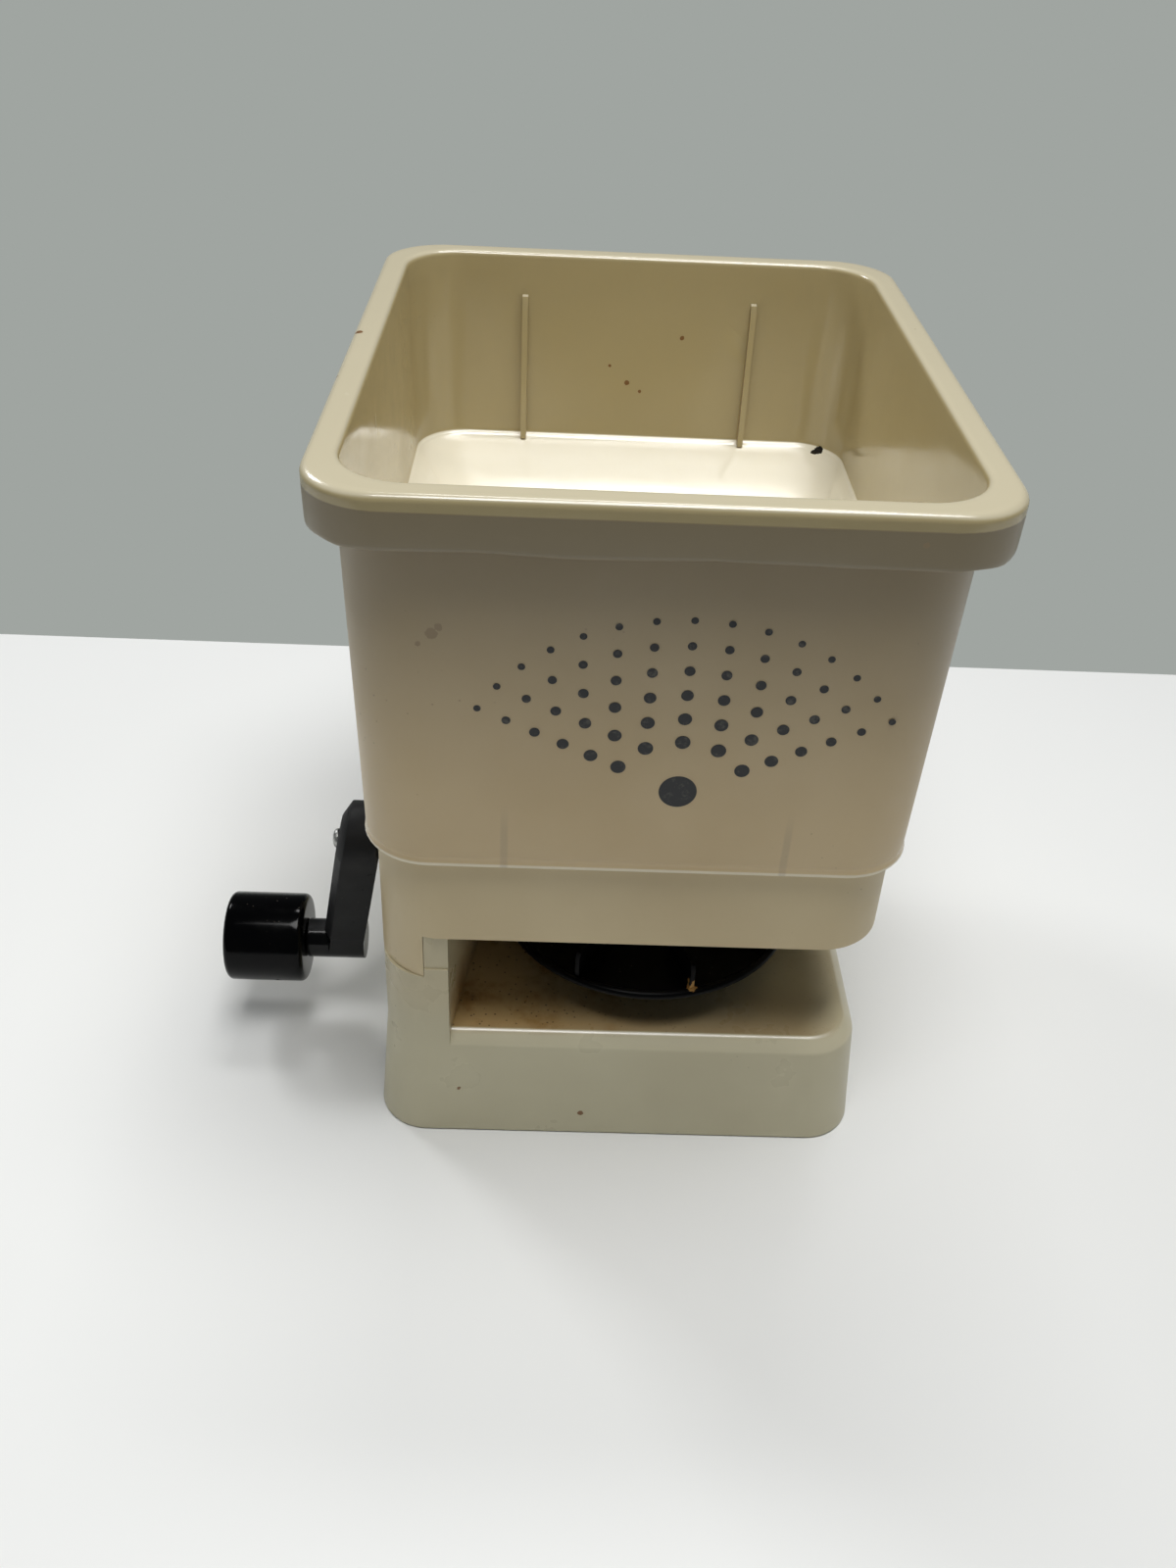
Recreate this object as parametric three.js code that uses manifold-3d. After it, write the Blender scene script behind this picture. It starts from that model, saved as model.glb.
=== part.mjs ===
// Handheld salt spreader: hopper on a gear housing, crank on the -X side, spinning disc in the base.
// Millimetres, +Z up, -Y is the discharge side. Origin: on the table plane below the hopper's middle.
import * as THREE from 'three';
import { mergeVertices } from 'three/addons/utils/BufferGeometryUtils.js';
import Module from 'manifold-3d';

const wasm = await Module();
wasm.setup();

// ---------- driving dimensions ----------
const GAP = 0.35;            // clearance between neighbouring pieces
const RIM_W = 176;           // hopper rim, outside width
const RIM_D = 214;           // hopper rim, outside depth
const RIM_TOP = 229;         // overall height
const SKIRT_Z = 214.5;       // lower edge of the rim's skirt
const LIP_Z = 113;           // lower edge of the hopper
const BODY_TOP_W = 162.4;    // hopper body width under the rim
const BODY_LOW_W = 158.3;    // hopper body width at its lip
const WALL = 1.9;            // hopper wall
const LEDGE_Z = 164;         // top of the funnel
const FLOOR_Z = 118;         // funnel floor
const DEPTH_MORE = RIM_D - RIM_W;
const TIER_W = 153;          // gear housing width
const TIER_Z = 82.7;         // gear housing lower edge
const TAB_Z = 66.5;          // lower edge of the housing's side tab
const TAB_X = -62.3;         // front seam of the tab
const BASE_W = 157.5;        // base width on the table
const BASE_TOP_W = 152;      // base width under the chamfer
const BASE_Z = 38;           // start of the chamfer
const RIDGE_Z = 41.7;        // top of the chamfer
const BLOCK_BACK = 18.5;     // back of the disc chamber block
const REST_Z = 24;           // top of the base behind the chamber
const AX = 7.8;              // impeller axis, x
const AY = -43;              // common plane of the two axes, y
const CRANK_Z = 78;          // crank axis height
const THROW = 44.3;          // crank throw
const CHAMBER_R = 56.8;      // disc chamber radius
const DISC_R = 49;           // impeller radius
const OUT_X = 34;            // outlet centre, x
const OUT_Y = -22;           // outlet centre, y
const OUT_W = 14;            // outlet width
const OUT_L = 8;             // outlet length along the gate's travel
const GATE_TRAVEL = 8.45;    // travel of the gate plate
const GRIP_Y = 78;           // middle of the grip
const PIVOT_Y = 72;          // trigger pivot
const PIVOT_Z = 90;
const CROWN_TEETH = 24;
const PINION_TEETH = 10;
const MODULE = 1;

// ---------- solids ----------
function solid(geometry) {
  let g = geometry.clone();
  g.deleteAttribute('normal');
  g.deleteAttribute('uv');
  g = mergeVertices(g, 1e-4);
  const index = g.index.array;
  return new wasm.Manifold(new wasm.Mesh({
    numProp: 3,
    vertProperties: new Float32Array(g.attributes.position.array),
    triVerts: new Uint32Array(index),
  }));
}

function join(...parts) {
  return parts.reduce((a, b) => a.add(b));
}

function cut(a, ...tools) {
  return tools.reduce((s, t) => s.subtract(t), a);
}

function box(x0, x1, y0, y1, z0, z1) {
  const g = new THREE.BoxGeometry(x1 - x0, y1 - y0, z1 - z0);
  g.translate((x0 + x1) / 2, (y0 + y1) / 2, (z0 + z1) / 2);
  return solid(g);
}

// Round bar along z; r1 is the radius at the top.
function rodZ(x, y, z0, z1, r, n = 16, r1 = r) {
  const g = new THREE.CylinderGeometry(r1, r, z1 - z0, n);
  g.rotateX(Math.PI / 2);
  g.translate(x, y, (z0 + z1) / 2);
  return solid(g);
}

function rodX(x0, x1, y, z, r, n = 16) {
  const g = new THREE.CylinderGeometry(r, r, x1 - x0, n);
  g.rotateZ(Math.PI / 2);
  g.translate((x0 + x1) / 2, y, z);
  return solid(g);
}

// Upright prism over an outline in x, y.
function prism(points, z0, z1) {
  const shape = new THREE.Shape(points.map(([x, y]) => new THREE.Vector2(x, y)));
  const g = new THREE.ExtrudeGeometry(shape, { depth: z1 - z0, bevelEnabled: false });
  g.translate(0, 0, z0);
  return solid(g);
}

// Prism along x over an outline in y, z.
function prismX(points, x0, x1) {
  const shape = new THREE.Shape(points.map(([y, z]) => new THREE.Vector2(y, z)));
  const g = new THREE.ExtrudeGeometry(shape, { depth: x1 - x0, bevelEnabled: false });
  g.rotateY(Math.PI / 2);
  g.rotateX(Math.PI / 2);
  g.translate(x0, 0, 0);
  return solid(g);
}

// Turned piece about z through (x, y); the profile is radius, height and closes on the axis.
function turned(profile, x, y, n = 32) {
  const g = new THREE.LatheGeometry(profile.map(([r, z]) => new THREE.Vector2(r, z)), n);
  g.rotateX(Math.PI / 2);
  g.translate(x, y, 0);
  return solid(g);
}

// Rounded rectangle as a ring of points.
function rounded(w, d, r, cx = 0, cy = 0, n = 4) {
  const points = [];
  const corners = [[1, -1, -90], [1, 1, 0], [-1, 1, 90], [-1, -1, 180]];
  for (const [sx, sy, start] of corners) {
    for (let i = 0; i <= n; i += 1) {
      const a = THREE.MathUtils.degToRad(start + (90 * i) / n);
      const x = cx + sx * (w / 2 - r) + r * Math.cos(a);
      const y = cy + sy * (d / 2 - r) + r * Math.sin(a);
      points.push([x, y]);
    }
  }
  return points;
}

// Skin through rings of equal count, closed by flat ends.
function loft(rings) {
  const n = rings[0].points.length;
  const position = [];
  const index = [];
  for (const ring of rings) {
    for (const [x, y] of ring.points) {
      position.push(x, y, ring.z);
    }
  }
  for (let k = 0; k < rings.length - 1; k += 1) {
    for (let i = 0; i < n; i += 1) {
      const a = k * n + i;
      const b = k * n + ((i + 1) % n);
      index.push(a, b, b + n, a, b + n, a + n);
    }
  }
  const top = (rings.length - 1) * n;
  for (let i = 1; i < n - 1; i += 1) {
    index.push(0, i + 1, i);
    index.push(top, top + i, top + i + 1);
  }
  const g = new THREE.BufferGeometry();
  g.setAttribute('position', new THREE.Float32BufferAttribute(position, 3));
  g.setIndex(index);
  return solid(g);
}

// Ring of the shell family: every outline is the rim moved inward by the same amount all round.
function shell(z, w, r) {
  return { z, points: rounded(w, w + DEPTH_MORE, r) };
}

// ---------- scene graph ----------
const spreader = new THREE.Group();

function node(name, body, look) {
  const mesh = body.getMesh();
  const g = new THREE.BufferGeometry();
  g.setAttribute('position', new THREE.Float32BufferAttribute(mesh.vertProperties, 3));
  g.setIndex(new THREE.Uint32BufferAttribute(mesh.triVerts, 1));
  g.computeVertexNormals();
  const part = new THREE.Mesh(g, new THREE.MeshStandardMaterial(look));
  part.name = name;
  spreader.add(part);
}

const CREAM = { color: 0xd9d2ba, roughness: 0.5, metalness: 0 };
const GREYED = { color: 0xcfcab8, roughness: 0.55, metalness: 0 };
const BLACK = { color: 0x141414, roughness: 0.35, metalness: 0 };
const NATURAL = { color: 0xe8e6dc, roughness: 0.5, metalness: 0 };
const STEEL = { color: 0x9a9a98, roughness: 0.35, metalness: 1 };
const ZINC = { color: 0xb4b2aa, roughness: 0.4, metalness: 1 };

// Pan-head screw along z: the head's bearing face at z, the shank toward +z when dir is 1.
function screwZ(x, y, z, shank, dir = 1, r = 1.6, head = 3.1, high = 2.2) {
  const a = z - dir * high;
  const b = z + dir * shank;
  const cap = rodZ(x, y, Math.min(a, z), Math.max(a, z), head, 10);
  const stem = rodZ(x, y, Math.min(z - dir * 0.4, b), Math.max(z - dir * 0.4, b), r, 8);
  return join(cap, stem);
}

// ---------- hopper ----------
const HOPPER_SCREWS = [[-50, -84], [50, -84], [-62, 80], [62, 80]];

function bodyWidth(z) {
  return BODY_LOW_W + ((BODY_TOP_W - BODY_LOW_W) * (z - LIP_Z)) / (SKIRT_Z - LIP_Z);
}

function hopper() {
  const body = loft([shell(LIP_Z, BODY_LOW_W, 20), shell(SKIRT_Z + 8, bodyWidth(SKIRT_Z + 8), 20)]);
  const rim = loft([
    shell(SKIRT_Z, RIM_W - 0.6, 20),
    shell(RIM_TOP - 2.2, RIM_W, 20),
    shell(RIM_TOP - 0.6, RIM_W - 1.4, 19.4),
    shell(RIM_TOP, RIM_W - 4.4, 18.4),
  ]);
  const channelOut = loft([shell(SKIRT_Z - 1, RIM_W - 4.4, 12), shell(RIM_TOP - 2.6, RIM_W - 4.4, 12)]);
  const channelIn = loft([
    shell(SKIRT_Z - 2, bodyWidth(SKIRT_Z), 20),
    shell(RIM_TOP - 1, bodyWidth(RIM_TOP - 1), 20),
  ]);
  const cavity = loft([
    shell(LEDGE_Z, bodyWidth(LEDGE_Z) - 2 * WALL, 18.2),
    shell(RIM_TOP - 1.6, 158.2, 18.8),
    shell(RIM_TOP + 0.5, 160.2, 19.8),
  ]);
  const funnelIn = loft([
    { z: FLOOR_Z, points: rounded(76, 70, 10, 8, AY) },
    { z: LEDGE_Z, points: rounded(154, 192, 17) },
    { z: LEDGE_Z + 1, points: rounded(154, 192, 17) },
  ]);
  const funnelOut = loft([
    { z: FLOOR_Z - 2.2, points: rounded(80, 73.6, 11, 8, AY) },
    { z: LEDGE_Z - 2.2, points: rounded(158, 196, 18) },
    { z: LEDGE_Z, points: rounded(158, 196, 18) },
  ]);
  const under = loft([
    shell(LIP_Z - 1, BODY_LOW_W - 2 * WALL, 18.1),
    shell(LEDGE_Z - 2.4, bodyWidth(LEDGE_Z - 2.4) - 2 * WALL, 18.1),
  ]);
  let s = join(body, cut(rim, cut(channelOut, channelIn)));
  s = cut(s, cut(under, funnelOut));
  // Screw bosses under the funnel, and two gussets behind the front wall.
  const limit = loft([
    shell(LIP_Z - 2, BODY_LOW_W - 2 * WALL + 0.6, 18.4),
    shell(LEDGE_Z - 2, bodyWidth(LEDGE_Z - 2) - 2 * WALL + 0.6, 18.4),
  ]);
  for (const [x, y] of HOPPER_SCREWS) {
    s = join(s, rodZ(x, y, LIP_Z - 0.9, y > 0 ? 160 : 142, 4.5, 12).intersect(limit));
  }
  for (const x of [-38, 41]) {
    s = join(s, box(x - 0.8, x + 0.8, -98, -79, 119.4, 150).intersect(limit));
  }
  // Rails that carry the gate plate under the funnel floor.
  for (const side of [-1, 1]) {
    const a = OUT_X + side * 12.1;
    const rail = box(a - 0.7, a + 0.7, -41, -18.2, 111.4, FLOOR_Z - 1);
    const b = OUT_X + side * 10.6;
    const lip = box(b - 1.5, b + 1.5, -41, -18.2, 111.4, 112.8);
    s = join(s, rail, lip);
  }
  s = cut(s, cavity, funnelIn);
  for (const x of [-40, 41.5]) {
    s = join(s, prismX([[99.5, LEDGE_Z - 1], [93.6, LEDGE_Z - 1], [96.6, 215], [99.5, 215]], x - 0.85, x + 0.85));
  }
  const dy = OUT_L / 2;
  s = cut(
    s,
    box(OUT_X - OUT_W / 2, OUT_X + OUT_W / 2, OUT_Y - dy, OUT_Y + dy, 115, 119),
    rodZ(AX, AY, 115, 119, 5, 24),
  );
  for (const [x, y] of HOPPER_SCREWS) {
    s = cut(s, rodZ(x, y, LIP_Z - 2, y > 0 ? 126 : 124.5, 1.75, 8));
  }
  return s;
}
node('hopper', hopper(), CREAM);

// ---------- gear housing ----------
const BASE_SCREWS = [[-63, -76], [-63, 6], [65, 0]];
const COVER_SCREWS = [[16.4, -19.5], [16.4, -66.5], [-38, -32.4]];
const GRIP_TOP_SCREWS = [[-11.5, 87.5], [11.5, 87.5]];

function gearHousing() {
  const full = loft([shell(60, TIER_W, 20), shell(FLOOR_Z, TIER_W, 20)]);
  const inner = loft([shell(60, TIER_W - 4.4, 17.8), shell(FLOOR_Z + 1, TIER_W - 4.4, 17.8)]);
  const tab = cut(full, inner).intersect(join(
    box(-80, TAB_X, -100, -70, TAB_Z, TIER_Z + 1),
    box(-80, -70, -100, BLOCK_BACK - 0.5, TAB_Z, TIER_Z + 1),
  ));
  let s = join(
    full.intersect(box(-90, 90, -110, 20, TIER_Z, FLOOR_Z)),
    full.intersect(box(-90, 90, 10, 110, 106.2, FLOOR_Z)),
    tab,
  );
  s = cut(s, inner.intersect(box(-90, 90, -110, 17.8, 85, FLOOR_Z + 1)));
  s = cut(s, inner.intersect(box(-90, 90, 10, 110, 108.4, FLOOR_Z + 1)));
  // Gear pocket roof, chute, screw bosses.
  s = join(s, box(-12.8, 14.8, -61.3, -24.7, TIER_Z + 0.3, 97.8));
  s = join(s, box(OUT_X - 8.6, OUT_X + 8.6, OUT_Y - 5.6, OUT_Y + 5.6, 72, 112.7));
  for (const [x, y] of HOPPER_SCREWS) {
    s = join(s, rodZ(x, y, y > 0 ? 107 : 83.5, 111.8, 4.5, 12));
  }
  for (const [x, y] of BASE_SCREWS) {
    s = join(s, rodZ(x, y, 83.5, 97, 4.5, 12));
  }
  for (const [x, y] of COVER_SCREWS) {
    s = join(s, rodZ(x, y, 83.5, 92, 3.8, 12));
  }
  // Bed and side guides of the gate's tail.
  s = join(
    s,
    box(-3, 3, 48, 56, 107, 112.8),
    box(6.7, 8.1, 44, 84, 107, 116.5),
    box(-8.1, -6.7, 44, 84, 107, 116.5),
  );
  s = cut(s, box(-11, 13, -59.5, -26.5, TIER_Z - 1, 96), rodZ(AX, AY, 95, 99, 3.5, 20));
  s = cut(s, box(OUT_X - 7, OUT_X + 7, OUT_Y - 4, OUT_Y + 4, 71, 114));
  s = cut(s, rodX(-78, -73, AY, CRANK_Z, 6), rodX(-16.2, -10, AY, CRANK_Z, 5.4));
  s = cut(s, box(-4.5, 4.5, 59, 84, 105, 110));
  for (const [x, y] of HOPPER_SCREWS) {
    s = cut(s, rodZ(x, y, 81, 113, 1.95, 8));
  }
  for (const [x, y] of BASE_SCREWS) {
    s = cut(s, rodZ(x, y, 81, 95.5, 1.75, 8));
  }
  for (const [x, y] of COVER_SCREWS) {
    s = cut(s, rodZ(x, y, 81, 90.5, 1.45, 8));
  }
  for (const [x, y] of GRIP_TOP_SCREWS) {
    s = cut(s, rodZ(x, y, 105, 110, 1.75, 8));
  }
  return s;
}
node('gear_housing', gearHousing(), CREAM);

// Cup under the housing that closes the gear case, with a trough for the crank shaft.
function gearCover() {
  const cup = rodZ(AX, AY, 60.5, 82.35, 20.6, 28);
  const trough = box(-53, -2, AY - 7, AY + 7, 71, 82.35);
  let s = join(cup, trough, rodZ(AX, AY, 80.4, 82.35, 23, 28));
  for (const [x, y] of COVER_SCREWS) {
    s = join(s, rodZ(x, y, 80.4, 82.35, 4.2, 12));
  }
  s = cut(s, rodZ(AX, AY, 62.3, 83, 19, 28));
  s = cut(s, box(-51.5, -14.5, AY - 5.5, AY + 5.5, 72.5, 83));
  s = cut(s, rodX(-54, -5, AY, CRANK_Z, 5.3, 24));
  s = cut(s, rodZ(AX, AY, 59, 63, 4.6, 24));
  for (const [x, y] of COVER_SCREWS) {
    s = cut(s, rodZ(x, y, 80, 83, 1.6, 8));
  }
  return s;
}
node('gear_cover', gearCover(), GREYED);

// ---------- base ----------
const PLATE_SCREWS = [[-44, -82], [44, -82], [-64, 82], [64, 82]];
const GRIP_LOW_SCREWS = [[-9, 84], [9, 84]];

function chamber(grow, z0, z1) {
  const r = CHAMBER_R + grow;
  const points = [[-55.3 - grow, -104], [-54.6 - grow, -91.3], [AX - r, -52.9]];
  for (let i = 0; i <= 18; i += 1) {
    const a = THREE.MathUtils.degToRad(180 - (160 * i) / 18);
    points.push([AX + r * Math.cos(a), AY + r * Math.sin(a)]);
  }
  points.push([90, AY + r * Math.sin(THREE.MathUtils.degToRad(20)) + 0.4 * grow]);
  points.push([90, -104]);
  return prism(points.reverse(), z0, z1);
}

function base() {
  const tub = loft([
    { z: 0, points: rounded(BASE_W, BASE_W + DEPTH_MORE, 16) },
    { z: BASE_Z, points: rounded(BASE_TOP_W, BASE_TOP_W + DEPTH_MORE, 16) },
    { z: RIDGE_Z, points: rounded(144.4, 144.4 + DEPTH_MORE, 13) },
  ]);
  const tubIn = loft([
    { z: -1, points: rounded(BASE_W - 4.6, BASE_W - 4.6 + DEPTH_MORE, 13.7) },
    { z: BASE_Z + 0.6, points: rounded(BASE_TOP_W - 4.6, BASE_TOP_W - 4.6 + DEPTH_MORE, 13.7) },
  ]);
  const post = loft([shell(20, BASE_TOP_W, 16), shell(82.35, BASE_TOP_W, 16)]);
  const postIn = loft([shell(20, BASE_TOP_W - 4.6, 13.7), shell(80.2, BASE_TOP_W - 4.6, 13.7)]);
  let s = join(tub, post.intersect(box(-90, 90, -110, BLOCK_BACK, 30, 82.35)));
  // Plug under the housing's tab is set back behind it, and the free front strip has a low step.
  const plug = loft([shell(50, TIER_W - 5.2, 17.4), shell(90, TIER_W - 5.2, 17.4)]);
  s = cut(s, cut(box(-80, TAB_X + GAP, -110, 60, TAB_Z - GAP, 90), plug));
  s = cut(s, box(TAB_X - 1, -50, -100, -94.4, 69.5, 90));
  s = cut(s, chamber(0, 41, 90));
  s = cut(s, tubIn.intersect(join(box(-90, 90, -110, 16.3, -2, 50), box(-90, 90, 10, 110, -2, 21.6))));
  const plugIn = loft([shell(60, 143.2, 15.4), shell(80.2, 143.2, 15.4)]);
  const hollow = join(
    postIn.intersect(box(-90, 90, -110, 16.3, 36, 63.8)),
    plugIn.intersect(box(-90, 90, -110, 16.3, 63, 80.2)),
  );
  s = cut(s, cut(hollow, chamber(2.2, 36, 90)));
  s = cut(s, box(-100, 100, BLOCK_BACK, 120, REST_Z, 60));
  for (const [x, y] of BASE_SCREWS) {
    s = join(s, rodZ(x, y, 58, 81, 5.4, 12));
  }
  for (const [x, y] of PLATE_SCREWS) {
    s = join(s, rodZ(x, y, 6.2, y > 0 ? 22 : 39.5, 4.4, 12));
  }
  s = cut(s, chamber(0, 41, 90));
  for (const [x, y] of BASE_SCREWS) {
    s = cut(s, rodZ(x, y, 57, 65, 3.6, 12), rodZ(x, y, 60, 83, 1.95, 8));
  }
  for (const [x, y] of PLATE_SCREWS) {
    s = cut(s, rodZ(x, y, 5, 19, 1.45, 8));
  }
  for (const [x, y] of GRIP_LOW_SCREWS) {
    s = cut(s, rodZ(x, y, 20, 25, 1.95, 8));
  }
  // Notch that lets the crank shaft and its trough down into the post.
  s = cut(s, box(-80, -47, AY - 7.4, AY + 7.4, 70.6, 90));
  return s;
}
node('base', base(), GREYED);

function bottomPlate() {
  let s = prism(rounded(BASE_W - 5.6, BASE_W - 5.6 + DEPTH_MORE, 13), 0, 2.4);
  for (const [x, y] of PLATE_SCREWS) {
    s = join(s, rodZ(x, y, 0.5, 5.8, 5, 14));
  }
  for (const [x, y] of PLATE_SCREWS) {
    s = cut(s, rodZ(x, y, -1, 2.9, 3.5, 12), rodZ(x, y, 0, 7, 1.8, 8));
  }
  return s;
}
node('bottom_plate', bottomPlate(), GREYED);

// ---------- crank ----------
const SPINDLE_Z = CRANK_Z - THROW;

// The arm leans outward toward its free end.
function lean(body) {
  const g = new THREE.BufferGeometry();
  const mesh = body.getMesh();
  const p = Array.from(mesh.vertProperties);
  for (let i = 0; i < p.length; i += 3) {
    p[i] += 0.18 * (p[i + 2] - CRANK_Z);
  }
  g.setAttribute('position', new THREE.Float32BufferAttribute(p, 3));
  g.setIndex(new THREE.Uint32BufferAttribute(mesh.triVerts, 1));
  return solid(g);
}

// Outline of the arm: two circles and their common tangents, in y, z, shrunk by inset.
function armOutline(inset) {
  const big = 12.8 - inset;
  const small = 6.7 - inset;
  const tilt = Math.asin((big - small) / THROW);
  const points = [];
  for (let i = 0; i <= 14; i += 1) {
    const a = -tilt + ((Math.PI + 2 * tilt) * i) / 14;
    points.push([AY + big * Math.cos(a), CRANK_Z + big * Math.sin(a)]);
  }
  for (let i = 0; i <= 8; i += 1) {
    const a = Math.PI + tilt + ((Math.PI - 2 * tilt) * i) / 8;
    points.push([AY + small * Math.cos(a), SPINDLE_Z + small * Math.sin(a)]);
  }
  return points;
}

function loftX(levels) {
  const rings = levels.map(([x, inset]) => ({ z: x, points: armOutline(inset) }));
  const mesh = loft(rings).getMesh();
  const p = Array.from(mesh.vertProperties);
  for (let i = 0; i < p.length; i += 3) {
    const [y, z, x] = [p[i], p[i + 1], p[i + 2]];
    p[i] = x;
    p[i + 1] = y;
    p[i + 2] = z;
  }
  const g = new THREE.BufferGeometry();
  g.setAttribute('position', new THREE.Float32BufferAttribute(p, 3));
  g.setIndex(new THREE.Uint32BufferAttribute(mesh.triVerts, 1));
  return solid(g);
}

function crankArm() {
  const rough = loftX([[-94.7, 4.8], [-92, 0], [-80.6, 0]]);
  let s = lean(rough);
  // Pocket in the inner face between hub and spindle.
  s = cut(s, box(-96, -76, AY - 4.2, AY + 4.2, SPINDLE_Z + 10, CRANK_Z - 10).intersect(
    lean(box(-90, -75, AY - 5, AY + 5, 30, 80)),
  ));
  s = cut(s, box(-80.9, -70, -60, -25, 62, 95));
  s = join(s, rodX(-107.5, -88, AY, SPINDLE_Z, 6.7, 24));
  s = join(s, rodX(-129.6, -107, AY, SPINDLE_Z, 4, 18));
  s = cut(s, box(-92.3, -76, AY - 2.95, AY + 2.95, CRANK_Z - 2.95, CRANK_Z + 2.95));
  s = cut(s, rodX(-93, -76, AY, CRANK_Z, 2.0, 12), rodX(-99, -90, AY, CRANK_Z, 1.9, 12));
  s = cut(s, rodX(-100, -94.3, AY, CRANK_Z, 3.9, 20));
  s = cut(s, rodX(-131, -117.5, AY, SPINDLE_Z, 1.4, 10));
  return s;
}
node('crank_arm', crankArm(), BLACK);

// Knob free on the spindle, recessed at its outer end for the screw head.
function knob() {
  const profile = [
    [0, -134.5], [10.6, -134.5], [13.3, -133.5], [14.8, -131.6], [15.2, -128],
    [15.2, -114.5], [14.7, -110.5], [12.9, -108.4], [10.2, -107.8], [0, -107.8],
  ];
  const g = new THREE.LatheGeometry(profile.map(([r, x]) => new THREE.Vector2(r, x)), 24);
  g.rotateZ(-Math.PI / 2);
  g.translate(0, AY, SPINDLE_Z);
  let s = solid(g);
  s = cut(s, rodX(-130, -107, AY, SPINDLE_Z, 4.3, 20));
  s = cut(s, rodX(-136, -129.9, AY, SPINDLE_Z, 6.2, 20));
  return s;
}
node('crank_knob', knob(), BLACK);

function knobScrew() {
  return join(
    rodX(-132.4, -130.2, AY, SPINDLE_Z, 5.2, 18),
    rodX(-131, -118.6, AY, SPINDLE_Z, 1.25, 8),
  );
}
node('knob_screw', knobScrew(), ZINC);

function crankScrew() {
  return join(
    rodX(-96.4, -94.6, AY, CRANK_Z, 3.25, 18),
    rodX(-95, -82, AY, CRANK_Z, 1.6, 8),
  );
}
node('crank_screw', crankScrew(), ZINC);

function crankShaft() {
  let s = join(
    rodX(-79.9, 0, AY, CRANK_Z, 4, 20),
    box(-92, -79, AY - 2.65, AY + 2.65, CRANK_Z - 2.65, CRANK_Z + 2.65),
  );
  s = cut(s, rodX(-93, -81, AY, CRANK_Z, 1.75, 8));
  s = cut(s, box(-9.8, 1, AY + 3, AY + 5, CRANK_Z - 6, CRANK_Z + 6));
  return s;
}
node('crank_shaft', crankShaft(), STEEL);

function ringX(x0, x1, outer, bore) {
  return cut(rodX(x0, x1, AY, CRANK_Z, outer, 20), rodX(x0 - 1, x1 + 1, AY, CRANK_Z, bore, 20));
}
node('crank_bush', join(ringX(-80.2, -76.8, 8.4, 4.25), ringX(-77.5, -73.4, 5.65, 4.25)), NATURAL);
node('shaft_bush', ringX(-15.5, -10.2, 5.05, 4.25), NATURAL);

// ---------- gears ----------
const CROWN_X = AX - (MODULE * PINION_TEETH) / 2;

function crownWheel() {
  const r = (MODULE * CROWN_TEETH) / 2;
  let s = join(
    rodX(CROWN_X - 4.3, CROWN_X - 1.35, AY, CRANK_Z, r + 2.6, 36),
    rodX(-9.2, CROWN_X - 2, AY, CRANK_Z, 6.4, 20),
  );
  for (let i = 0; i < CROWN_TEETH; i += 1) {
    const a = (2 * Math.PI * i) / CROWN_TEETH;
    const root = 0.85;
    const tip = 0.34;
    const x0 = CROWN_X - 1.6;
    const x1 = CROWN_X + 0.85;
    const shape = new THREE.Shape([
      new THREE.Vector2(-root, x0),
      new THREE.Vector2(root, x0),
      new THREE.Vector2(tip, x1),
      new THREE.Vector2(-tip, x1),
    ]);
    const g = new THREE.ExtrudeGeometry(shape, { depth: 3.3, bevelEnabled: false });
    // Tooth runs along the radius: shape x goes round the wheel, shape y goes along the axis.
    g.translate(0, 0, r - 1.5);
    const m = new THREE.Matrix4().makeBasis(
      new THREE.Vector3(0, -1, 0),
      new THREE.Vector3(1, 0, 0),
      new THREE.Vector3(0, 0, 1),
    );
    g.applyMatrix4(m);
    g.rotateX(a);
    g.translate(0, AY, CRANK_Z);
    s = join(s, solid(g));
  }
  const bore = cut(rodX(-10, 6, AY, CRANK_Z, 4.2, 24), box(-11, 7, AY + 3.2, AY + 6, 60, 90));
  return cut(s, bore.intersect(box(-11, 0.3, -60, -20, 60, 90)));
}
node('crown_wheel', crownWheel(), NATURAL);

function pinion() {
  const r = (MODULE * PINION_TEETH) / 2;
  let s = rodZ(AX, AY, 63.1, 72.6, r - 1.3, 20);
  for (let i = 0; i < PINION_TEETH; i += 1) {
    const a = (2 * Math.PI * (i + 0.5)) / PINION_TEETH;
    const g = new THREE.ExtrudeGeometry(new THREE.Shape([
      new THREE.Vector2(r - 1.6, -0.85),
      new THREE.Vector2(r, -0.6),
      new THREE.Vector2(r + 0.85, -0.28),
      new THREE.Vector2(r + 0.85, 0.28),
      new THREE.Vector2(r, 0.6),
      new THREE.Vector2(r - 1.6, 0.85),
    ]), { depth: 5.2, bevelEnabled: false });
    g.rotateZ(a);
    g.translate(AX, AY, 63.4);
    s = join(s, solid(g));
  }
  return cut(s, rodZ(AX, AY, 60, 75, 2.7, 20));
}
node('pinion', pinion(), NATURAL);

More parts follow.
